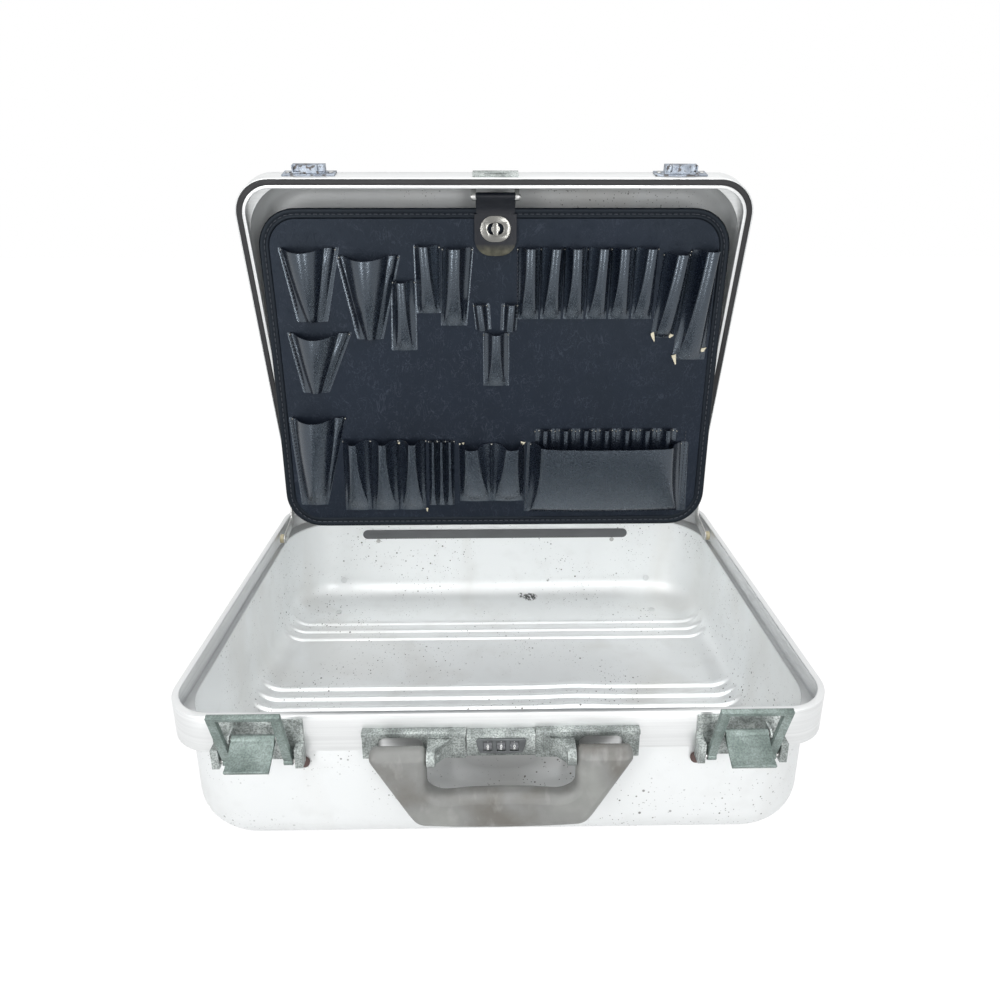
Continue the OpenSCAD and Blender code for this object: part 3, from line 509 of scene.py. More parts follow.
# %% Moulding kit
def moulding(name, colour, low, high):
    f = Finish(name, colour, 0.5)
    cloud = f.noise(30, 4)
    f.colour(f.clouded(cloud, colour, 0.82))
    f.roughness(f.noise(60, 3), low, high)
    f.bump(f.noise(500, 3), 0.0001, 0.5)
    return f.material


def scuffed_moulding(name, colour):
    f = Finish(name, colour, 0.5)
    dirty = (0.125, 0.118, 0.105)
    lighter_tone = (0.245, 0.25, 0.235)
    tone = f.ramp(f.noise(26, 7), (0.34, dirty), (0.5, colour), (0.68, lighter_tone))
    strokes = f.noise(120, 5, f.stretched((1, 0.35, 0.5)))
    rub = f.mask(strokes, 0.58, 0.72, 0.4)
    f.colour(f.mix(rub, tone, (0.30, 0.30, 0.285)))
    f.roughness(f.noise(60, 3), 0.36, 0.58)
    f.bump(f.noise(260, 3), 0.0001, 0.5)
    return f.material


print("moulding kit: moulding, scuffed_moulding")

# %% Rubber, plastic and thread
rubber = moulding("black_rubber", (0.02, 0.02, 0.022), 0.55, 0.75)
black_plastic = moulding("black_plastic", (0.03, 0.032, 0.035), 0.4, 0.6)
strip_plastic = moulding("strip_plastic", (0.12, 0.125, 0.13), 0.35, 0.55)
wheel_plastic = moulding("wheel_plastic", (0.12, 0.124, 0.13), 0.6, 0.75)
handle_plastic = scuffed_moulding("handle_plastic", (0.187, 0.188, 0.18))
nylon = moulding("aged_nylon", (0.50, 0.44, 0.29), 0.35, 0.5)
thread = moulding("black_thread", (0.045, 0.051, 0.064), 0.5, 0.7)
backing = moulding("cream_backing", (0.72, 0.66, 0.50), 0.7, 0.9)
figure_paint = moulding("figure_paint", (0.80, 0.80, 0.78), 0.4, 0.6)
rust_plastic = moulding("aged_plug", (0.085, 0.05, 0.045), 0.5, 0.7)
print("mouldings:", rubber.name, strip_plastic.name, handle_plastic.name, nylon.name, thread.name)

# %% [markdown]
# ## Hardware with soft edges
# Cast and rolled metal never has a knife edge. Each hard node could keep its own mesh, which is
# never changed, but then its edges would look cut. So it is copied, the copy's triangles are
# merged back into flat faces, and its sharp edges get a narrow bevel that catches the light.
# The copy then stands for its node and rides on the same body.

# %% Softening kit
bodies = frame["record"]["behaviour"]["bodies"]
body_of_node = {node: body for body, nodes in bodies.items() for node in nodes}
slot_of_node = {part["node"]: part["material_slot"] for part in frame["record"]["subparts"]}


def pick(thing):
    bpy.ops.object.select_all(action="DESELECT")
    thing.select_set(True)
    bpy.context.view_layer.objects.active = thing


def dress(piece, finish):
    piece.data.materials.clear()
    piece.data.materials.append(finish)


def stand_for(piece, node, finish):
    """Dresses a piece and lets it stand for one node, on that node's body."""
    dress(piece, finish)
    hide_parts(node)
    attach(piece, body_of_node[node])


def merged_copy(node):
    """A copy of a node's mesh, with its loose triangles merged into flat faces."""
    piece = frame["nodes"][node].copy()
    piece.data = piece.data.copy()
    piece.parent = None
    piece.name = node + "_soft"
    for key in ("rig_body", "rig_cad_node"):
        if key in piece:
            del piece[key]
    bpy.context.collection.objects.link(piece)
    pick(piece)
    bpy.ops.object.mode_set(mode="EDIT")
    bpy.ops.mesh.select_all(action="SELECT")
    bpy.ops.mesh.remove_doubles(threshold=0.004 * MM)
    bpy.ops.mesh.dissolve_limited(angle_limit=radians(0.6))
    bpy.ops.mesh.normals_make_consistent(inside=False)
    bpy.ops.object.mode_set(mode="OBJECT")
    return piece


def apply_all(piece):
    pick(piece)
    for modifier in list(piece.modifiers):
        bpy.ops.object.modifier_apply(modifier=modifier.name)


def shade_by_angle(piece, degrees):
    pick(piece)
    bpy.ops.object.shade_smooth_by_angle(angle=radians(degrees))


def soften(piece, width):
    bevel = piece.modifiers.new("soft_edge", "BEVEL")
    bevel.width = width * MM
    bevel.segments = 2
    bevel.limit_method = "ANGLE"
    bevel.angle_limit = radians(32)
    bevel.use_clamp_overlap = True
    apply_all(piece)
    shade_by_angle(piece, 38)


print(len(bodies), "bodies,", len(body_of_node), "nodes")

# %% Soften the hardware
finishes = {
    "shell_aluminium": pan_metal,
    "frame_aluminium": rim_metal,
    "cast_zinc": cast_zinc,
    "bright_steel": steel,
    "black_rubber": rubber,
    "black_vinyl": binding_vinyl,
    "black_plastic": black_plastic,
    "grey_plastic": handle_plastic,
    "nylon": nylon,
}
nodes_of_finish = (
    (nickel, ("grommet", "turn_button", "turn_stud")),
    (green_zinc, ("latch_lever_left", "latch_lever_right", "latch_bail_left", "latch_bail_right")),
    (rust_plastic, ("latch_plugs",)),
    (pan_metal, ("foot_rivets",)),
    (steel, ("base_hinge_rivets",)),
    (steel_dark, ("lock_bezel",)),
    (strip_plastic, ("hinge_backing_strip",)),
    (keeper_plate, ("keeper_left", "keeper_right")),
    (wheel_plastic, ("dial_1", "dial_2", "dial_3")),
)
special = {node: finish for finish, nodes in nodes_of_finish for node in nodes}
modelled = {
    "base_shell", "lid_shell", "pallet_board", "pallet_binding", "hanging_strap",
    "cone_pockets", "small_pockets", "tool_tubes", "lower_pockets", "box_pocket", "lock_bezel",
    "handle",
}
edge_width = 0.35
wider = {"base_frame": 0.5, "lid_frame": 0.5, "lid_gasket": 0.6, "feet": 0.8}
for node in sorted(frame["nodes"]):
    finish = special.get(node, finishes[slot_of_node[node]])
    if node in modelled:
        dress(frame["nodes"][node], finish)
        continue
    piece = merged_copy(node)
    soften(piece, wider.get(node, edge_width))
    stand_for(piece, node, finish)
    print(node, len(piece.data.polygons), "faces")

# %% [markdown]
# ## The two pans
# Base and lid are deep-drawn pans with one corner radius and one floor fillet. A grid is laid
# over the middle block, and its outer lines are then led across the floor, up the fillet and
# up the wall. Where two walls meet, the lines turn round the corner. The low ribs of the base
# run on up the side fillets and die away there. Insets and bevels could make the plain pan, but
# not those ribs, which is why the grid's points are led by formula.

# %% Grid kit
def run(*spans):
    """Distances along a line, from (length, steps) spans laid end to end."""
    marks = [0.0]
    for length, steps in spans:
        start = marks[-1]
        marks += [start + length * (k + 1) / steps for k in range(steps)]
    return marks


def ease(t):
    t = min(max(t, 0.0), 1.0)
    return t * t * (3 - 2 * t)


def corner_turn(past_x, past_y):
    """The angle round a corner for a point that is so far past its middle block."""
    if past_x == past_y == 0:
        return 0.0
    turn = pi / 4 * min(past_x, past_y) / max(past_x, past_y)
    return pi / 2 - turn if past_y > past_x else turn


def shaped_grid(name, columns, rows, shape):
    """A grid whose vertex in column i and row j goes to shape(columns[i], rows[j])."""
    nx = len(columns) - 1
    ny = len(rows) - 1
    bpy.ops.object.select_all(action="DESELECT")
    bpy.ops.mesh.primitive_grid_add(x_subdivisions=nx, y_subdivisions=ny, size=1)
    piece = bpy.context.object
    piece.name = name
    for vertex in piece.data.vertices:
        i = round((vertex.co.x + 0.5) * nx)
        j = round((vertex.co.y + 0.5) * ny)
        vertex.co = shape(columns[i], rows[j])
    return piece


def subdivide(piece, levels):
    smooth = piece.modifiers.new("soft", "SUBSURF")
    smooth.levels = smooth.render_levels = levels
    apply_all(piece)


def thicken(piece, thickness, offset):
    solid = piece.modifiers.new("thickness", "SOLIDIFY")
    solid.thickness = thickness
    solid.offset = offset
    apply_all(piece)


print("grid kit: run, ease, corner_turn, shaped_grid, subdivide, thicken")

# %% Ribs
foot_z = shell_low.z
rib_half = 4.6 * MM
rib_rise = 1.9 * MM
rear_ribs = (112, 97.5, 83)
front_ribs = (1, -13.5, -28)
rib_lines = [(y * MM, y in front_ribs) for y in rear_ribs + front_ribs]
rib_margin = 7.2 * MM
rib_step = 0.82 * MM
rib_end, rib_fade = 0.55, 0.6       # radians up the side fillet
dent_x, dent_half, dent_sway = 72 * MM, 24 * MM, 1.8 * MM


def rib_height(x, y):
    height = 0.0
    for line, dented in rib_lines:
        sway = dent_sway * exp(-(((x - dent_x) / dent_half) ** 2)) if dented else 0.0
        t = (y - line - sway) / rib_half
        if abs(t) < 1:
            height = max(height, rib_rise * (0.5 + 0.5 * cos(pi * t)))
    return height


print(len(rib_lines), "ribs,", rib_rise / MM, "mm high")

# %% The shape of a pan
def pan_point(x, y, ribbed):
    flat = shell_r - fillet
    arc = fillet * pi / 2
    past_x = max(abs(x) - (shell_w / 2 - shell_r), 0)
    past_y = max(abs(y) - (shell_d / 2 - shell_r), 0)
    s = max(past_x, past_y)
    turn = corner_turn(past_x, past_y)
    bend = min(max(s - flat, 0) / fillet, pi / 2)
    reach = min(s, flat) + fillet * sin(bend)
    height = fillet * (1 - cos(bend)) + max(s - flat - arc, 0)
    point = Vector((
        copysign(abs(x) - past_x + reach * cos(turn), x),
        copysign(abs(y) - past_y + reach * sin(turn), y),
        height,
    ))
    if ribbed and past_y == 0:
        fade = 1 - ease((bend - rib_end) / rib_fade)
        inward = Vector((-copysign(sin(bend), x), 0, cos(bend)))
        point += inward * rib_height(x, y) * fade
    return point


middle_columns, middle_rows = 44, 28
floor_steps, fillet_steps, wall_steps = 8, 14, 5


def pressed_pan(name, height, ribbed):
    climb = run(
        (shell_r - fillet, floor_steps),
        (fillet * pi / 2, fillet_steps),
        (height - fillet, wall_steps),
    )
    mid_x = shell_w / 2 - shell_r
    mid_y = shell_d / 2 - shell_r
    across = {
        round(-mid_x + 2 * mid_x * k / middle_columns, 6) for k in range(middle_columns + 1)
    }
    deep = {round(-mid_y + 2 * mid_y * k / middle_rows, 6) for k in range(middle_rows + 1)}
    if ribbed:
        for line, _ in rib_lines:
            deep = {y for y in deep if abs(y - line) > rib_margin or abs(y) == round(mid_y, 6)}
        for line, _ in rib_lines:
            deep |= {round(line + rib_step * k, 6) for k in range(-8, 9)}
    up = climb[1:]
    columns = [-mid_x - s for s in reversed(up)] + sorted(across) + [mid_x + s for s in up]
    rows = [-mid_y - s for s in reversed(up)] + sorted(deep) + [mid_y + s for s in up]
    piece = shaped_grid(name, columns, rows, lambda x, y: pan_point(x, y, ribbed))
    thicken(piece, wall, 1)
    shade_by_angle(piece, 50)
    return piece


print("fillet", round(fillet / MM), "mm, corner", round(shell_r / MM), "mm")

# %% Base and lid pans
base_pan = pressed_pan("base_pan", shell_top - foot_z, True)
base_pan.data.transform(Matrix.Translation((0, 0, foot_z)))
stand_for(base_pan, "base_shell", base_metal)

lid_pan = pressed_pan("lid_pan", lid_pan_h, False)
lid_top = Matrix.Translation((0, 0, base_h + lid_h))
lid_pan.data.transform(open_lid @ lid_top @ Matrix.Rotation(pi, 4, "Y"))
stand_for(lid_pan, "lid_shell", pan_metal)
print("pans:", len(base_pan.data.polygons), "and", len(lid_pan.data.polygons), "faces")

# %% [markdown]
# ## The tool pallet
# The pallet is modelled flat, in its own frame: X across, Z up from the board's top edge and Y
# going back from its front face. It is then hung from the strap pin at its slight lean.
# The board is a rounded plate that has taken a slow bow over the years, so its middle stands
# a few millimetres behind its edges.

# %% Pallet kit
side_bow = 4.2 * MM
middle_bow = 1.2 * MM


def rounded_outline(half_w, half_h, radius, corner_steps):
    """Points round a rounded rectangle, starting at the middle of its top side."""
    centres = ((1, 1, 90, 0), (1, -1, 0, -90), (-1, -1, -90, -180), (-1, 1, -180, -270))
    points = []
    for sx, sz, start, end in centres:
        for k in range(corner_steps + 1):
            a = radians(start + (end - start) * k / corner_steps)
            points.append((
                sx * (half_w - radius) + radius * cos(a),
                sz * (half_h - radius) + radius * sin(a),
            ))
    return points


def board_bow(x, z):
    """How far the board stands behind its flat place."""
    along = sin(pi * min(max(-z / board_h, 0), 1))
    middle = 1 - (x / (board_w / 2)) ** 2
    return (side_bow + middle_bow * middle) * along


def on_pallet(piece):
    """Moves a piece from the pallet's flat frame to its hanging place."""
    piece.data.transform(hang_pallet)
    piece.data.update()


def join(name, pieces):
    bpy.ops.object.select_all(action="DESELECT")
    for piece in pieces:
        piece.select_set(True)
    bpy.context.view_layer.objects.active = pieces[0]
    if len(pieces) > 1:
        bpy.ops.object.join()
    pieces[0].name = name
    return pieces[0]


def fix_to_pallet(piece, finish):
    """Dresses a piece that no node stands for, and hangs it with the pallet."""
    dress(piece, finish)
    on_pallet(piece)
    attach(piece, "pallet")
    return piece


def mesh_piece(name, vertices, faces):
    mesh = bpy.data.meshes.new(name)
    mesh.from_pydata(vertices, [], faces)
    mesh.update()
    piece = bpy.data.objects.new(name, mesh)
    bpy.context.collection.objects.link(piece)
    return piece


# %% The board
def board_point(u, v):
    """A square grid pressed into the board's rounded outline, u across and v down, -1 to 1."""
    half_w = board_w / 2
    half_h = board_h / 2
    x = u * half_w
    z = v * half_h
    past_x = abs(x) - (half_w - board_r)
    past_z = abs(z) - (half_h - board_r)
    if past_x > 0 and past_z > 0:
        s = max(past_x, past_z)
        turn = corner_turn(past_x, past_z)
        x = copysign(half_w - board_r + s * cos(turn), x)
        z = copysign(half_h - board_r + s * sin(turn), z)
    z -= half_h
    return Vector((x, board_bow(x, z), z))


def even_marks(steps):
    """Marks from -1 to 1, evenly spaced."""
    return [-1 + 2 * k / steps for k in range(steps + 1)]


board = shaped_grid("board", even_marks(72), even_marks(56), board_point)
thicken(board, board_t, -1)
shade_by_angle(board, 50)
on_pallet(board)
stand_for(board, "pallet_board", board_vinyl)
print("board:", len(board.data.polygons), "faces")

# %% [markdown]
# ## Sewn pockets
# Each pocket is a strip of vinyl sewn down at both sides. At the mouth it stands off the board
# as one rounded ridge between two deep side folds. Further down the folds flatten and the ridge
# spreads, until the strip lies against the board at the bottom. Simulated cloth would give soft
# folds too, but this vinyl is stiff and keeps the shape that it was sewn to, so its cross
# sections are drawn instead. One function draws them, and each pocket is a row of numbers: left
# edge, right edge and depth, at the mouth and again at the bottom. A small random lean, with a
# seed of its own, keeps neighbours from looking alike.

# %% Pocket kit
rows_down = (0, 0.03, 0.14, 0.3, 0.46, 0.62, 0.76, 0.87, 0.94, 0.985, 1.0)
ridge = ((0, 1), (0.14, 0.48), (0.31, 0.13), (0.5, 0), (0.69, 0.13), (0.86, 0.48), (1, 1))
flat_depth = 1.6
vinyl_t = 0.9 * MM


def mix(a, b, t):
    return a + (b - a) * t


def pocket(top, low, z_top, z_low, strip=(7, None), shift=0.0, spread=2.4, sag=3.0,
           flange=(2.6, 2.6), wobble=0.0, press=0.9, arch=0.16, fall=2.2, seed=0):
    """A sewn pocket in millimetres, given as (left, right, depth) at its mouth and its bottom.

    strip is the ridge's width at mouth and bottom, shift its place at the mouth, spread how late
    it widens, sag the mouth's dip, arch how round the ridge is, fall how late it sinks, and
    press where down the pocket it is flattened. flange is the width that is sewn down.
    """
    rng = random.Random(seed)
    lean = rng.uniform(-1, 1)
    sections = []
    for t in rows_down:
        left = mix(top[0], low[0], t)
        right = mix(top[1], low[1], t)
        width = right - left
        late = min(max((t - press) / (1 - press), 0), 1) if press < 1 else 0
        depth = mix(mix(top[2], low[2], t ** fall), flat_depth, late)
        full = width - 1.6 if strip[1] is None else strip[1]
        front = min(mix(strip[0], full, t ** spread), width - 1.2)
        centre = (left + right) / 2 + shift * (1 - t) + lean * wobble * sin(pi * t)
        f0 = centre - front / 2
        f1 = centre + front / 2
        rise = min(arch * front, 0.75 * depth)
        section = [(left - flange[0], 0.45), (left - 0.5, 0.6), (left + 0.15, 0.10 * depth + 0.5)]
        low_fold = 0.26 * depth + 0.3
        high_fold = 0.66 * (depth - rise)
        section += [(mix(left, f0, 0.5), low_fold), (mix(left, f0, 0.88), high_fold)]
        section += [(mix(f0, f1, k), depth - drop * rise) for k, drop in ridge]
        section += [(mix(right, f1, 0.88), high_fold), (mix(right, f1, 0.5), low_fold)]
        section += [(right - 0.15, 0.10 * depth + 0.5), (right + 0.5, 0.6), (right + flange[1], 0.45)]
        z = mix(z_top, z_low, t)
        lip = sag * (1 - t) ** 6
        line = []
        for x, y in section:
            drop = lip * (y / top[2]) ** 1.5
            px = x * MM
            pz = (z - drop) * MM
            line.append(Vector((px, board_bow(px, pz) - y * MM, pz)))
        sections.append(line)
    wide = len(sections[0])
    vertices = [point for line in sections for point in line]
    faces = [
        (j * wide + i, (j + 1) * wide + i, (j + 1) * wide + i + 1, j * wide + i + 1)
        for j in range(len(sections) - 1) for i in range(wide - 1)
    ]
    piece = mesh_piece("pocket", vertices, faces)
    subdivide(piece, 2)
    thicken(piece, vinyl_t, -1)
    shade_by_angle(piece, 60)
    staples.extend(((top[0] - 0.6, z_top - 2.2), (top[1] + 0.6, z_top - 2.2)))
    return piece


def pocket_group(name, node, pieces):
    group = join(name, pieces)
    on_pallet(group)
    stand_for(group, node, pocket_vinyl)
    print(name, len(group.data.polygons), "faces")


# %% Every pocket on the board
staples = []
cones = [
    pocket((-195, -147, 20), (-184, -163, 6), -34, -103, (38, 9), -4, 1, 4, (3.4, 4.6),
           press=1, arch=0.4, seed=1),
    pocket((-143, -90, 22), (-129, -110, 6), -41, -120, (41, 9), -2, 1, 4, (3.4, 3.0),
           press=1, arch=0.4, seed=2),
    pocket((-195, -140, 18), (-185, -166, 6), -113, -173, (42, 9), -3, 1, 5, (3.4, 3.4),
           press=1, arch=0.36, seed=3),
    pocket((-201, -150, 20), (-196, -174, 4), -198, -293, (38, 17), -3, 1.4, 2, (4.2, 1.2),
           arch=0.38, seed=4),
]
pocket_group("cone_pocket_set", "cone_pockets", cones)

small = [
    pocket((-95, -76, 12), (-98, -77, 4), -64, -131, (8, 18), -2, 3.2, 1.5, (2, 2), 0.8, seed=5),
    pocket((-73, -52, 14), (-73, -53, 4), -32, -95, (9, 17), -3, 3.2, 1, (2, 1), 0.5, seed=6),
    pocket((-48, -22, 16), (-51, -29, 4), -34, -107, (11, 20), -2, 3.4, 1, (1, 2), 0.5, seed=7),
    pocket((-10.5, 11.5, 12), (-10.5, 11.5, 3), -114, -167, (9, 19), 0, 2.8, 1, (1.6, 1.6), seed=8),
    pocket((-20, -9, 10), (-17.5, -7.5, 8), -86, -111, (6, 6), -1, 1, 0.6, (1.4, 3.6), press=1, seed=9),
    pocket((9, 20, 10), (8, 18.5, 8), -86, -112, (6.5, 6.5), 0.6, 1, 0.6, (3.6, 1.4), press=1, seed=10),
]
pocket_group("small_pocket_set", "small_pockets", small)

tubes = []
for k, twist in enumerate((0.64, 2.56, -0.32, 2.24, -0.48, 2.72)):
    x = 21 + 21.6 * k
    tubes.append(pocket((x, x + 20.4, 15), (x + 0.4, x + 18.6, 3.4), -34, -101, (9, None),
                        twist, 3.0, 1, (0.6, 0.6), 0.5, 0.86, seed=20 + k))
tubes.append(pocket((156, 179, 18), (150, 170, 5), -39, -119, (11, 14), 2, 2.2, 1, (0.8, 1),
                    0.6, 0.93, seed=30))
tubes.append(pocket((181, 205, 20), (172, 202, 4), -36, -141, (12, 22), 3, 2.6, 1, (0.8, 1),
                    0.6, 0.93, seed=31))
pocket_group("tool_tube_set", "tool_tubes", tubes)

lower = []
for k in range(3):
    x = 28 * k - 153
    lower.append(pocket((x, x + 26, 16), (x - 1.6, x + 24.4, 3), -222, -299, (8, None),
                        -2 + 1.4 * k, 2.4, 1.5, (0.6, 0.6), 0.5, 0.88, seed=40 + k))
for k in range(3):
    lower.append(pocket((8.4 * k - 67, 8.4 * k - 59.4, 8), (8.8 * k - 68.4, 8.8 * k - 60.6, 3),
                        -223, -294, (2.6, 6.4), 0.4, 5, 0.4, (0.3, 0.3), seed=50 + k))
for k in range(2):
    x = 33 * k - 36
    lower.append(pocket((x, x + 31, 17), (x, x + 31, 3.6), -226, -290, (14, None),
                        -4 + 8 * k, 1.7, 3.5, (1, 1), 0.6, 0.9, seed=60 + k))
pocket_group("lower_pocket_set", "lower_pockets", lower)

boxes = [
    pocket((36, 187, 22), (33, 190, 7), -226, -302, (132, 153), -1, 3.0, 1.6, (4, 8),
           arch=0.02, press=0.97, seed=70)
]
loop_x = [40 + 20.43 * k for k in range(8)]
for k, x in enumerate(loop_x[:7]):
    loop = (x + 4, x + 15.4, 8)
    boxes.append(pocket(loop, loop, -212, -242, (4.6, 4.6), 0, 1, 0.5, (4, 4), 0.4, 1, seed=80 + k))
pocket_group("box_pocket_set", "box_pocket", boxes)

# %% [markdown]
# ## Binding and stitches
# A folded tape is sewn round the board. A curve with a bevel profile could be swept round, but
# the tape has to follow the bow of the board, so rings of points are laid one inside the next
# and joined: they wrap the edge, stand proud in front, and dip in a groove for the stitches.
# The stitches are small separate capsules, one after another along that groove.

# %% Outline rings
corner_steps = 10
side_steps = (20, 28, 20, 28)


def ring_outline(inset):
    """The board's outline moved inwards, always with the same number of points."""
    half_w = board_w / 2 - inset
    half_h = board_h / 2 - inset
    points = rounded_outline(half_w, half_h, board_r - inset, corner_steps)
    per_corner = corner_steps + 1
    ring = []
    for corner, steps in enumerate(side_steps):
        ring += points[corner * per_corner:(corner + 1) * per_corner]
        x0, z0 = ring[-1]
        x1, z1 = points[((corner + 1) * per_corner) % len(points)]
        ring += [(x0 + (x1 - x0) * k / steps, z0 + (z1 - z0) * k / steps) for k in range(1, steps)]
    return ring


def on_board(x, z, forward):
    return Vector((x, board_bow(x, z - board_h / 2) - forward, z - board_h / 2))


print("ring:", len(ring_outline(0)), "points")

# %% Binding
binding_profile = (
    (9.0, -4.3), (3.0, -4.4), (0.2, -4.2), (-0.5, -1.8), (-0.2, 0.6), (1.0, 1.35), (3.0, 1.3),
    (4.2, 0.95), (5.0, 0.45), (5.8, 0.95), (7.2, 1.35), (8.6, 0.9), (9.2, -0.1),
)
rings = [
    [on_board(x, z, forward * MM) for x, z in ring_outline(inset * MM)]
    for inset, forward in binding_profile
]
count = len(rings[0])
binding = mesh_piece("binding", [point for ring in rings for point in ring], [
    (j * count + i, j * count + (i + 1) % count, (j + 1) * count + (i + 1) % count, (j + 1) * count + i)
    for j in range(len(rings) - 1) for i in range(count)
])
subdivide(binding, 1)
bpy.ops.object.mode_set(mode="EDIT")
bpy.ops.mesh.select_all(action="SELECT")
bpy.ops.mesh.normals_make_consistent(inside=False)
bpy.ops.object.mode_set(mode="OBJECT")
bpy.ops.object.shade_smooth()
on_pallet(binding)
stand_for(binding, "pallet_binding", binding_vinyl)
print("binding:", len(binding.data.polygons), "faces")


# %% Bead and stitch kit
def along(points, pitch, closed=True):
    """Evenly spaced (point, direction) pairs along a line of points."""
    line = points + points[:1] if closed else points
    out = []
    left = pitch / 2
    for a, b in zip(line, line[1:]):
        span = (b - a).length
        while left <= span and span > 0:
            out.append((a.lerp(b, left / span), (b - a).normalized()))
            left += pitch
        left -= span
    return out


def beads(name, stacks, open_start, finish):
    """Many small beads in one mesh, each a stack of rings of points that is joined and capped."""
    vertices = []
    faces = []
    for rings in stacks:
        base = len(vertices)
        sides = len(rings[0])
        vertices += [point for ring in rings for point in ring]
        for j in range(base, base + (len(rings) - 1) * sides, sides):
            for k in range(sides):
                n = (k + 1) % sides
                faces.append((j + k, j + n, j + sides + n, j + sides + k))
        if not open_start:
            faces.append(tuple(base + k for k in reversed(range(sides))))
        faces.append(tuple(len(vertices) - sides + k for k in range(sides)))
    piece = mesh_piece(name, vertices, faces)
    pick(piece)
    bpy.ops.object.shade_smooth()
    return fix_to_pallet(piece, finish)


def stitches(name, places, length, radius):
    """Six-sided capsules, each lying along its direction."""
    stacks = []
    for point, direction in places:
        side = direction.cross(Vector((0, -1, 0))).normalized()
        up = side.cross(direction)
        turn = [side * cos(pi / 3 * k) + up * sin(pi / 3 * k) for k in range(6)]
        stacks.append([
            [point + direction * t * length + spoke * radius * swell for spoke in turn]
            for t, swell in ((-0.5, 0.35), (-0.32, 1.0), (0.32, 1.0), (0.5, 0.35))
        ])
    return beads(name, stacks, False, thread)


print("bead kit: along, beads, stitches")

# %% Stitches
groove = [on_board(x, z, 0.75 * MM) for x, z in ring_outline(5.0 * MM)]
edge_stitches = stitches("edge_stitches", along(groove, 5.4 * MM), 3.8 * MM, 0.42 * MM)

seam_lift = 0.8 * MM
seam_ends = (
    ((-196.6, -36), (-185.6, -101)), ((-145.0, -43), (-130.6, -118)),
    ((-196.8, -115), (-186.6, -171)), ((-203.4, -200), (-198.0, -290)),
    ((20.2, -36), (20.6, -99)), ((34.0, -228), (30.6, -300)), ((195.0, -228), (195.6, -300)),
    ((191.6, -214), (191.6, -296)), ((-7.2, -88), (-6.8, -109)), ((6.8, -88), (6.4, -109)),
)
seam_places = []
for ends in seam_ends:
    line = [(x * MM, z * MM) for x, z in ends]
    line = [Vector((x, board_bow(x, z) - seam_lift, z)) for x, z in line]
    seam_places += along(line, 3.6 * MM, closed=False)
pocket_stitches = stitches("pocket_stitches", seam_places, 2.4 * MM, 0.32 * MM)
print("stitches:", len(edge_stitches.data.polygons) + len(pocket_stitches.data.polygons), "faces")

# %% [markdown]
# ## Small fastenings and worn corners
# A small nickel head holds each mouth corner. There are dozens, so each has only a few faces.
# Where the vinyl has torn at a few corners, a scrap of its cream backing shows. The scraps are
# uneven, and each takes its unevenness from a seed of its own.

# %% Staples
def domes(name, places, radius, height):
    """Low round heads on the board, each with twelve sides."""
    stacks = []
    for x, z in places:
        px = x * MM
        pz = z * MM
        y = board_bow(px, pz) - vinyl_t
        stacks.append([
            [(
                px + radius * swell * cos(pi / 6 * k), y - height * rise,
                pz + radius * swell * sin(pi / 6 * k),
            ) for k in range(12)]
            for swell, rise in ((1.0, 0.0), (0.8, 0.65), (0.4, 0.95))
        ])
    return beads(name, stacks, True, nickel)


loop_staples = [(x - 0.6, -215) for x in loop_x]
domes("staples", staples + loop_staples, 0.95 * MM, 0.8 * MM)
print("staples:", len(staples) + len(loop_staples))

# %% Torn backing
scrap_corners = ((-0.2, -1.25), (0.35, -1), (0.7, 0.1), (1.1, 0.9), (0.2, 1), (-1, 0.8), (-0.7, -0.2))
scrap_places = (
    (151, -118, 3.6, 8, 20), (168, -117, 5, 4, -30), (173.5, -140, 4, 9, 15), (200, -131, 8, 3.6, 5),
    (-34, -227.5, 5.5, 3, 10), (27, -226.5, 5, 3, -20), (-71, -298.5, 2, 4, 0), (-97, -226, 3, 1.6, 0),
)
scraps = []
for n, (x, z, width, height, turn) in enumerate(scrap_places):
    rng = random.Random(n)
    a = radians(turn)
    outline = []
    for cx, cz in scrap_corners:
        dx = cx * width / 2 * rng.uniform(0.75, 1.15)
        dz = cz * height / 2 * rng.uniform(0.75, 1.15)
        px = (x + dx * cos(a) - dz * sin(a)) * MM
        pz = (z + dx * sin(a) + dz * cos(a)) * MM
        lift = (1.6 + rng.uniform(0, 1.2)) * MM
        outline.append((px, board_bow(px, pz) - lift, pz))
    scrap = mesh_piece("scrap", outline, [tuple(range(len(outline)))])
    thicken(scrap, 0.5 * MM, 0)
    scraps.append(scrap)
fix_to_pallet(join("torn_backing", scraps), backing)
print("scraps:", len(scrap_places))

# %% [markdown]
# ## Hanging strap
# The strap turns over its pin, drops in front of the board and ends in a half round. It is a
# fine grid led into that shape, with the faces under the nickel grommet taken out for the turn
# button. A boolean cut would leave long thin triangles in a sheet that is meant to look soft.

# %% Strap tongue
strap_half = 19 * MM
strap_low = -41.5 * MM
strap_face = -3.3 * MM
round_r = 15 * MM
grommet_low, grommet_high = node_box("grommet")
grommet_at = hang_pallet.inverted() @ ((grommet_low + grommet_high) / 2)
strap_rows = [-5 - 1.05 * k for k in range(34)] + [-40.9, -41.3, -41.5]
opening_x, opening_z = 10.4 * MM, 8 * MM


def strap_point(u, z):
    z *= MM
    low = z - strap_low
    half = strap_half
    if low < round_r:
        half = strap_half - round_r + sqrt(max(round_r ** 2 - (round_r - low) ** 2, 0))
    curl = 0.5 * MM * u * u
    return Vector((u * half, strap_face + curl, z))


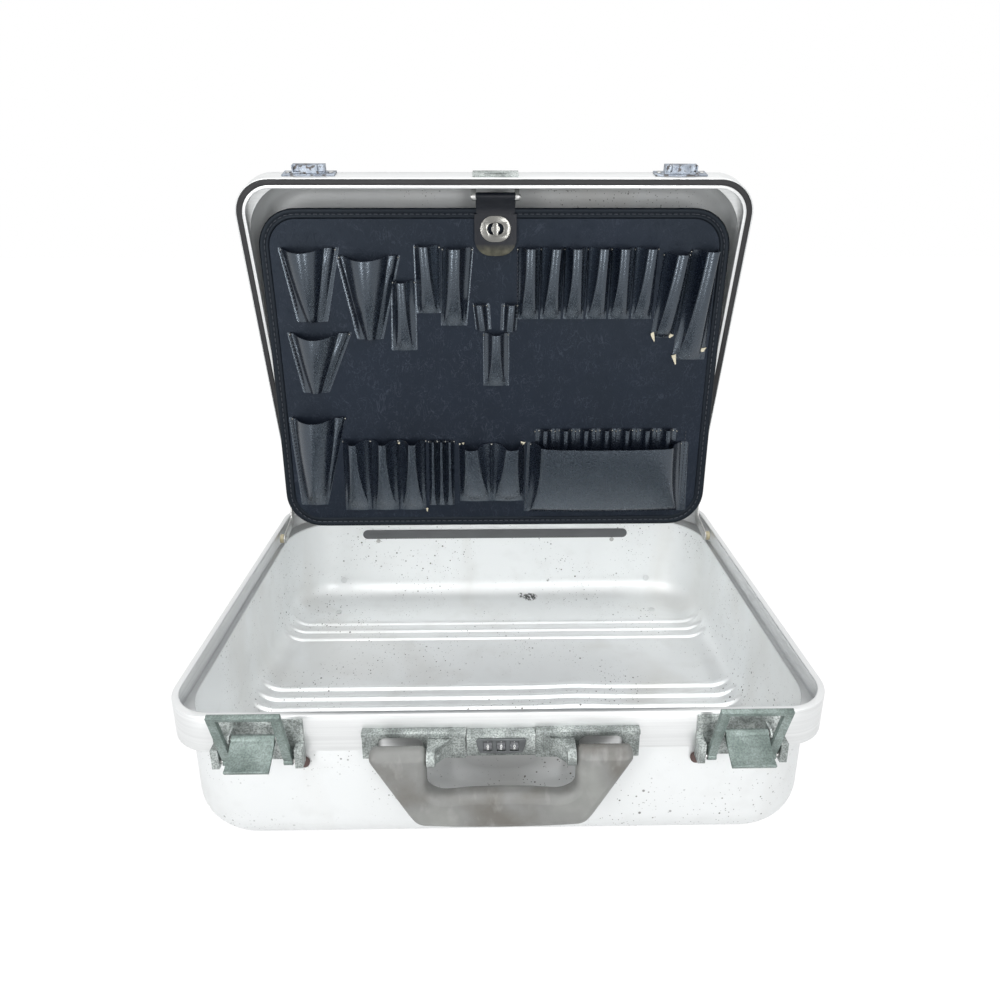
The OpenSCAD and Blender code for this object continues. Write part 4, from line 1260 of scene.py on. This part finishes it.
tongue = shaped_grid("strap", even_marks(36), list(reversed(strap_rows)), strap_point)
mesh = bmesh.new()
mesh.from_mesh(tongue.data)
under_ring = []
for face in mesh.faces:
    middle = face.calc_center_median()
    if (middle.x / opening_x) ** 2 + ((middle.z - grommet_at.z) / opening_z) ** 2 < 1:
        under_ring.append(face)
bmesh.ops.delete(mesh, geom=under_ring, context="FACES")
mesh.to_mesh(tongue.data)
mesh.free()
thicken(tongue, 1.6 * MM, -1)
print("tongue:", len(tongue.data.polygons), "faces")

# %% Strap loop
pin_local = hang_pallet.inverted() @ strap_pin
loop_half = 17.6 * MM
loop_r = 3.1 * MM
path = [(strap_face + 0.8 * MM, -5 * MM), (strap_face + 0.6 * MM, -1 * MM),
        (mix(strap_face, pin_local.y, 0.35), 4.0 * MM)]
for k in range(9):
    a = radians(200 - 27 * k)
    path.append((pin_local.y + loop_r * cos(a), pin_local.z + loop_r * sin(a)))
bend = shaped_grid("strap_bend", even_marks(6), list(range(len(path))),
                   lambda u, k: Vector((u * loop_half, *path[k])))
subdivide(bend, 1)
thicken(bend, 1.5 * MM, 0)
strap = join("strap", [tongue, bend])
shade_by_angle(strap, 40)
on_pallet(strap)
print("strap:", len(strap.data.polygons), "faces")

# %% Strap finish
strap_black = (0.004, 0.0055, 0.010)
worn_length = 11 * MM
tip_z = (hang_pallet @ Vector((0, 0, strap_low))).z
f = Finish("strap_vinyl", strap_black, 0.42, specular=0.28)
height = add_node(f.tree, "SeparateXYZ", {0: f.coords}).outputs["Z"]
from_tip = {"Value": height, "From Min": tip_z, "From Max": tip_z + worn_length}
up_strap = add_node(f.tree, "MapRange", from_tip).outputs[0]
worn = f.mask(up_strap, 0.35, 0.95, 0, 1)
patchy = f.ramp(f.noise(160, 4), (0.3, (0.035, 0.034, 0.022)), (0.7, (0.10, 0.095, 0.065)))
f.colour(f.mix(worn, strap_black, patchy))
f.roughness(f.noise(60, 3), 0.3, 0.5)
f.bump(f.cells(900), 0.00022, 0.5)
stand_for(strap, "hanging_strap", f.material)
print("strap finish:", f.material.name, "worn at its tip")

# %% [markdown]
# ## Lock bezel
# The bezel is a thin pressed plate with a bowed foot and three windows. Windows could be cut
# with a boolean, but a filled flat curve leaves them out of its outline by itself and rounds
# every edge at once, so the plate is drawn as one curve and then made a mesh.

# %% Plate kit
def flat_plate(name, loops, depth, edge):
    """A plate in the XZ plane from closed loops of points, the first one its outline."""
    curve = bpy.data.curves.new(name, "CURVE")
    curve.dimensions = "2D"
    curve.fill_mode = "BOTH"
    curve.extrude = depth / 2 - edge
    curve.bevel_depth = edge
    curve.bevel_resolution = 2
    for loop in loops:
        spline = curve.splines.new("POLY")
        spline.points.add(len(loop) - 1)
        for point, (x, z) in zip(spline.points, loop):
            point.co = (x, z, 0, 1)
        spline.use_cyclic_u = True
    piece = bpy.data.objects.new(name, curve)
    bpy.context.collection.objects.link(piece)
    pick(piece)
    bpy.ops.object.convert(target="MESH")
    piece = bpy.context.object
    piece.data.transform(Matrix.Rotation(pi / 2, 4, "X"))
    return piece


print("plate kit: flat_plate")

# %% Bezel
bezel_low, bezel_high = node_box("lock_bezel")
bezel_mid = (bezel_low + bezel_high) / 2
bezel_edge = 0.35 * MM
side = (bezel_high.x - bezel_low.x) / 2 - bezel_edge
top = (bezel_high.z - bezel_low.z) / 2 - bezel_edge
window_play = 0.45 * MM
window_half = 4.2 * MM
dials = ("dial_1", "dial_2", "dial_3")

outline = [(-side + 0.8 * MM, top), (side - 0.8 * MM, top), (side, top - 1.2 * MM)]
outline.append((side - 0.6 * MM, 0))
for k in range(11):
    across = 0.86 - 0.172 * k
    outline.append((side * across, -top + 0.9 * MM * across ** 2))
outline += [(-side + 0.6 * MM, 0), (-side, top - 1.2 * MM)]
windows = []
for dial in dials:
    low, high = node_box(dial)
    x0 = low.x - window_play
    x1 = high.x + window_play
    middle = (low.z + high.z) / 2 - bezel_mid.z
    z0 = middle - window_half
    z1 = middle + window_half
    windows.append([(x0, z0), (x1, z0), (x1, z1), (x0, z1)])
bezel = flat_plate("bezel", [outline] + windows, bezel_high.y - bezel_low.y, bezel_edge)
bezel.data.transform(Matrix.Translation((0, bezel_mid.y, bezel_mid.z)))
shade_by_angle(bezel, 40)
stand_for(bezel, "lock_bezel", steel_dark)
print("bezel:", len(bezel.data.polygons), "faces")

# %% [markdown]
# ## Handle
# The grip is one thick plastic moulding with large round edges: two lugs that turn on their
# pins, and a deep bowed grip between them. A box could be extruded and bevelled into it, but the
# bevels would collide at the inner corners. So half its outline is listed, mirrored, moved in by
# the edge's radius and rounded, and a flat curve with a wide bevel gives the thickness and the
# round edges. The tops of the lugs are then rounded about the pins.

# %% Outline kit
def inset_loop(points, distance):
    """A closed loop, drawn clockwise, moved inwards by a distance."""
    out = []
    for k, point in enumerate(points):
        before = (Vector(point) - Vector(points[k - 1])).normalized()
        after = (Vector(points[(k + 1) % len(points)]) - Vector(point)).normalized()
        side_a = Vector((before.y, -before.x))
        side_b = Vector((after.y, -after.x))
        across = (side_a + side_b).normalized()
        out.append(Vector(point) + across * distance / max(across.dot(side_a), 0.3))
    return out


def rounded_loop(points, radii, steps=6):
    """A closed loop whose corners are turned into short curves."""
    out = []
    for k, (point, radius) in enumerate(zip(points, radii)):
        point = Vector(point)
        to_last = Vector(points[k - 1]) - point
        to_next = Vector(points[(k + 1) % len(points)]) - point
        if radius == 0:
            out.append(point)
            continue
        a = point + to_last.normalized() * min(radius, to_last.length * 0.45)
        b = point + to_next.normalized() * min(radius, to_next.length * 0.45)
        for j in range(steps + 1):
            t = j / steps
            out.append(a * (1 - t) ** 2 + point * 2 * t * (1 - t) + b * t ** 2)
    return out


print("outline kit: inset_loop, rounded_loop")

# %% Handle
grip_low, grip_high = node_box("handle")
grip_mid_y = (grip_low.y + grip_high.y) / 2
grip_t = grip_high.y - grip_low.y
lug_top = grip_high.z / MM
low = grip_low.z / MM
lug_r = grip_t / 2
pin_z = lug_top - lug_r / MM
eye = 49
grip_edge = 5.2 * MM
left_half = [
    ((0, low - 0.6), 0), ((-30, low - 0.1), 0), ((-55, low + 1.2), 3), ((-60, low + 7), 8),
    ((-86, pin_z), 4), ((-86, lug_top), 1), ((-eye, lug_top), 1), ((-eye, low + 30), 10),
    ((-eye + 9, low + 24.4), 7), ((-20, low + 26.2), 0), ((0, low + 26.8), 0),
]
right_half = [((-x, z), r) for (x, z), r in reversed(left_half[1:-1])]
shape = left_half + right_half
corners = inset_loop([Vector(point) * MM for point, _ in shape], grip_edge)
loop = rounded_loop(corners, [r * MM for _, r in shape])
grip = flat_plate("grip", [loop], grip_t, grip_edge)
grip.data.transform(Matrix.Translation((0, grip_mid_y, 0)))
for vertex in grip.data.vertices:
    above = vertex.co.z - pin_z * MM
    aside = vertex.co.y - grip_mid_y
    reach = hypot(above, aside)
    if above > 0 and reach > lug_r:
        vertex.co.z = pin_z * MM + above * lug_r / reach
        vertex.co.y = grip_mid_y + aside * lug_r / reach
shade_by_angle(grip, 50)
stand_for(grip, "handle", handle_plastic)
print("grip:", [round(v / MM, 1) for v in grip.dimensions], len(grip.data.polygons), "faces")

# %% [markdown]
# ## Number wheels
# Each wheel carries the plain figures 0 to 9. They could be painted on by a texture, but raised
# figures keep their edges up close. A figure starts as text, becomes a thin mesh, and is wrapped
# on the wheel by turning its height into an angle.

# %% Figures
figure_h = 3.0 * MM
figure_depth = 0.06 * MM
figure_weight = 0.05 * MM
figure_lift = 0.02 * MM
figure_turn = 6                     # degrees past the window's middle
for dial in dials:
    low, high = node_box(dial)
    centre = (low + high) / 2
    wheel_r = (high.z - low.z) / 2
    figures = []
    for k in range(10):
        bpy.ops.object.select_all(action="DESELECT")
        bpy.ops.object.text_add(location=(0, 0, 0))
        text = bpy.context.object
        text.data.body = str(k)
        text.data.size = figure_h
        text.data.align_x = "CENTER"
        text.data.align_y = "CENTER"
        text.data.extrude = figure_depth
        text.data.offset = figure_weight
        text.data.resolution_u = 3
        bpy.ops.object.convert(target="MESH")
        figure = bpy.context.object
        for vertex in figure.data.vertices:
            a = radians(36 * k + figure_turn) + vertex.co.y / wheel_r
            r = wheel_r + figure_lift + vertex.co.z
            vertex.co = Vector((
                centre.x + vertex.co.x, centre.y - r * cos(a), centre.z + r * sin(a)
            ))
        figures.append(figure)
    wheel = join(dial + "_figures", figures)
    dress(wheel, figure_paint)
    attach(wheel, body_of_node[dial])
    print(wheel.name, len(wheel.data.polygons), "faces")

# %% Sizes and finish
new_low, new_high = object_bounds()
grown = zip((*cad_low, *new_high), (*new_low, *cad_high))
print("box grew by", [round((a - b) / MM, 2) for a, b in grown], "mm")
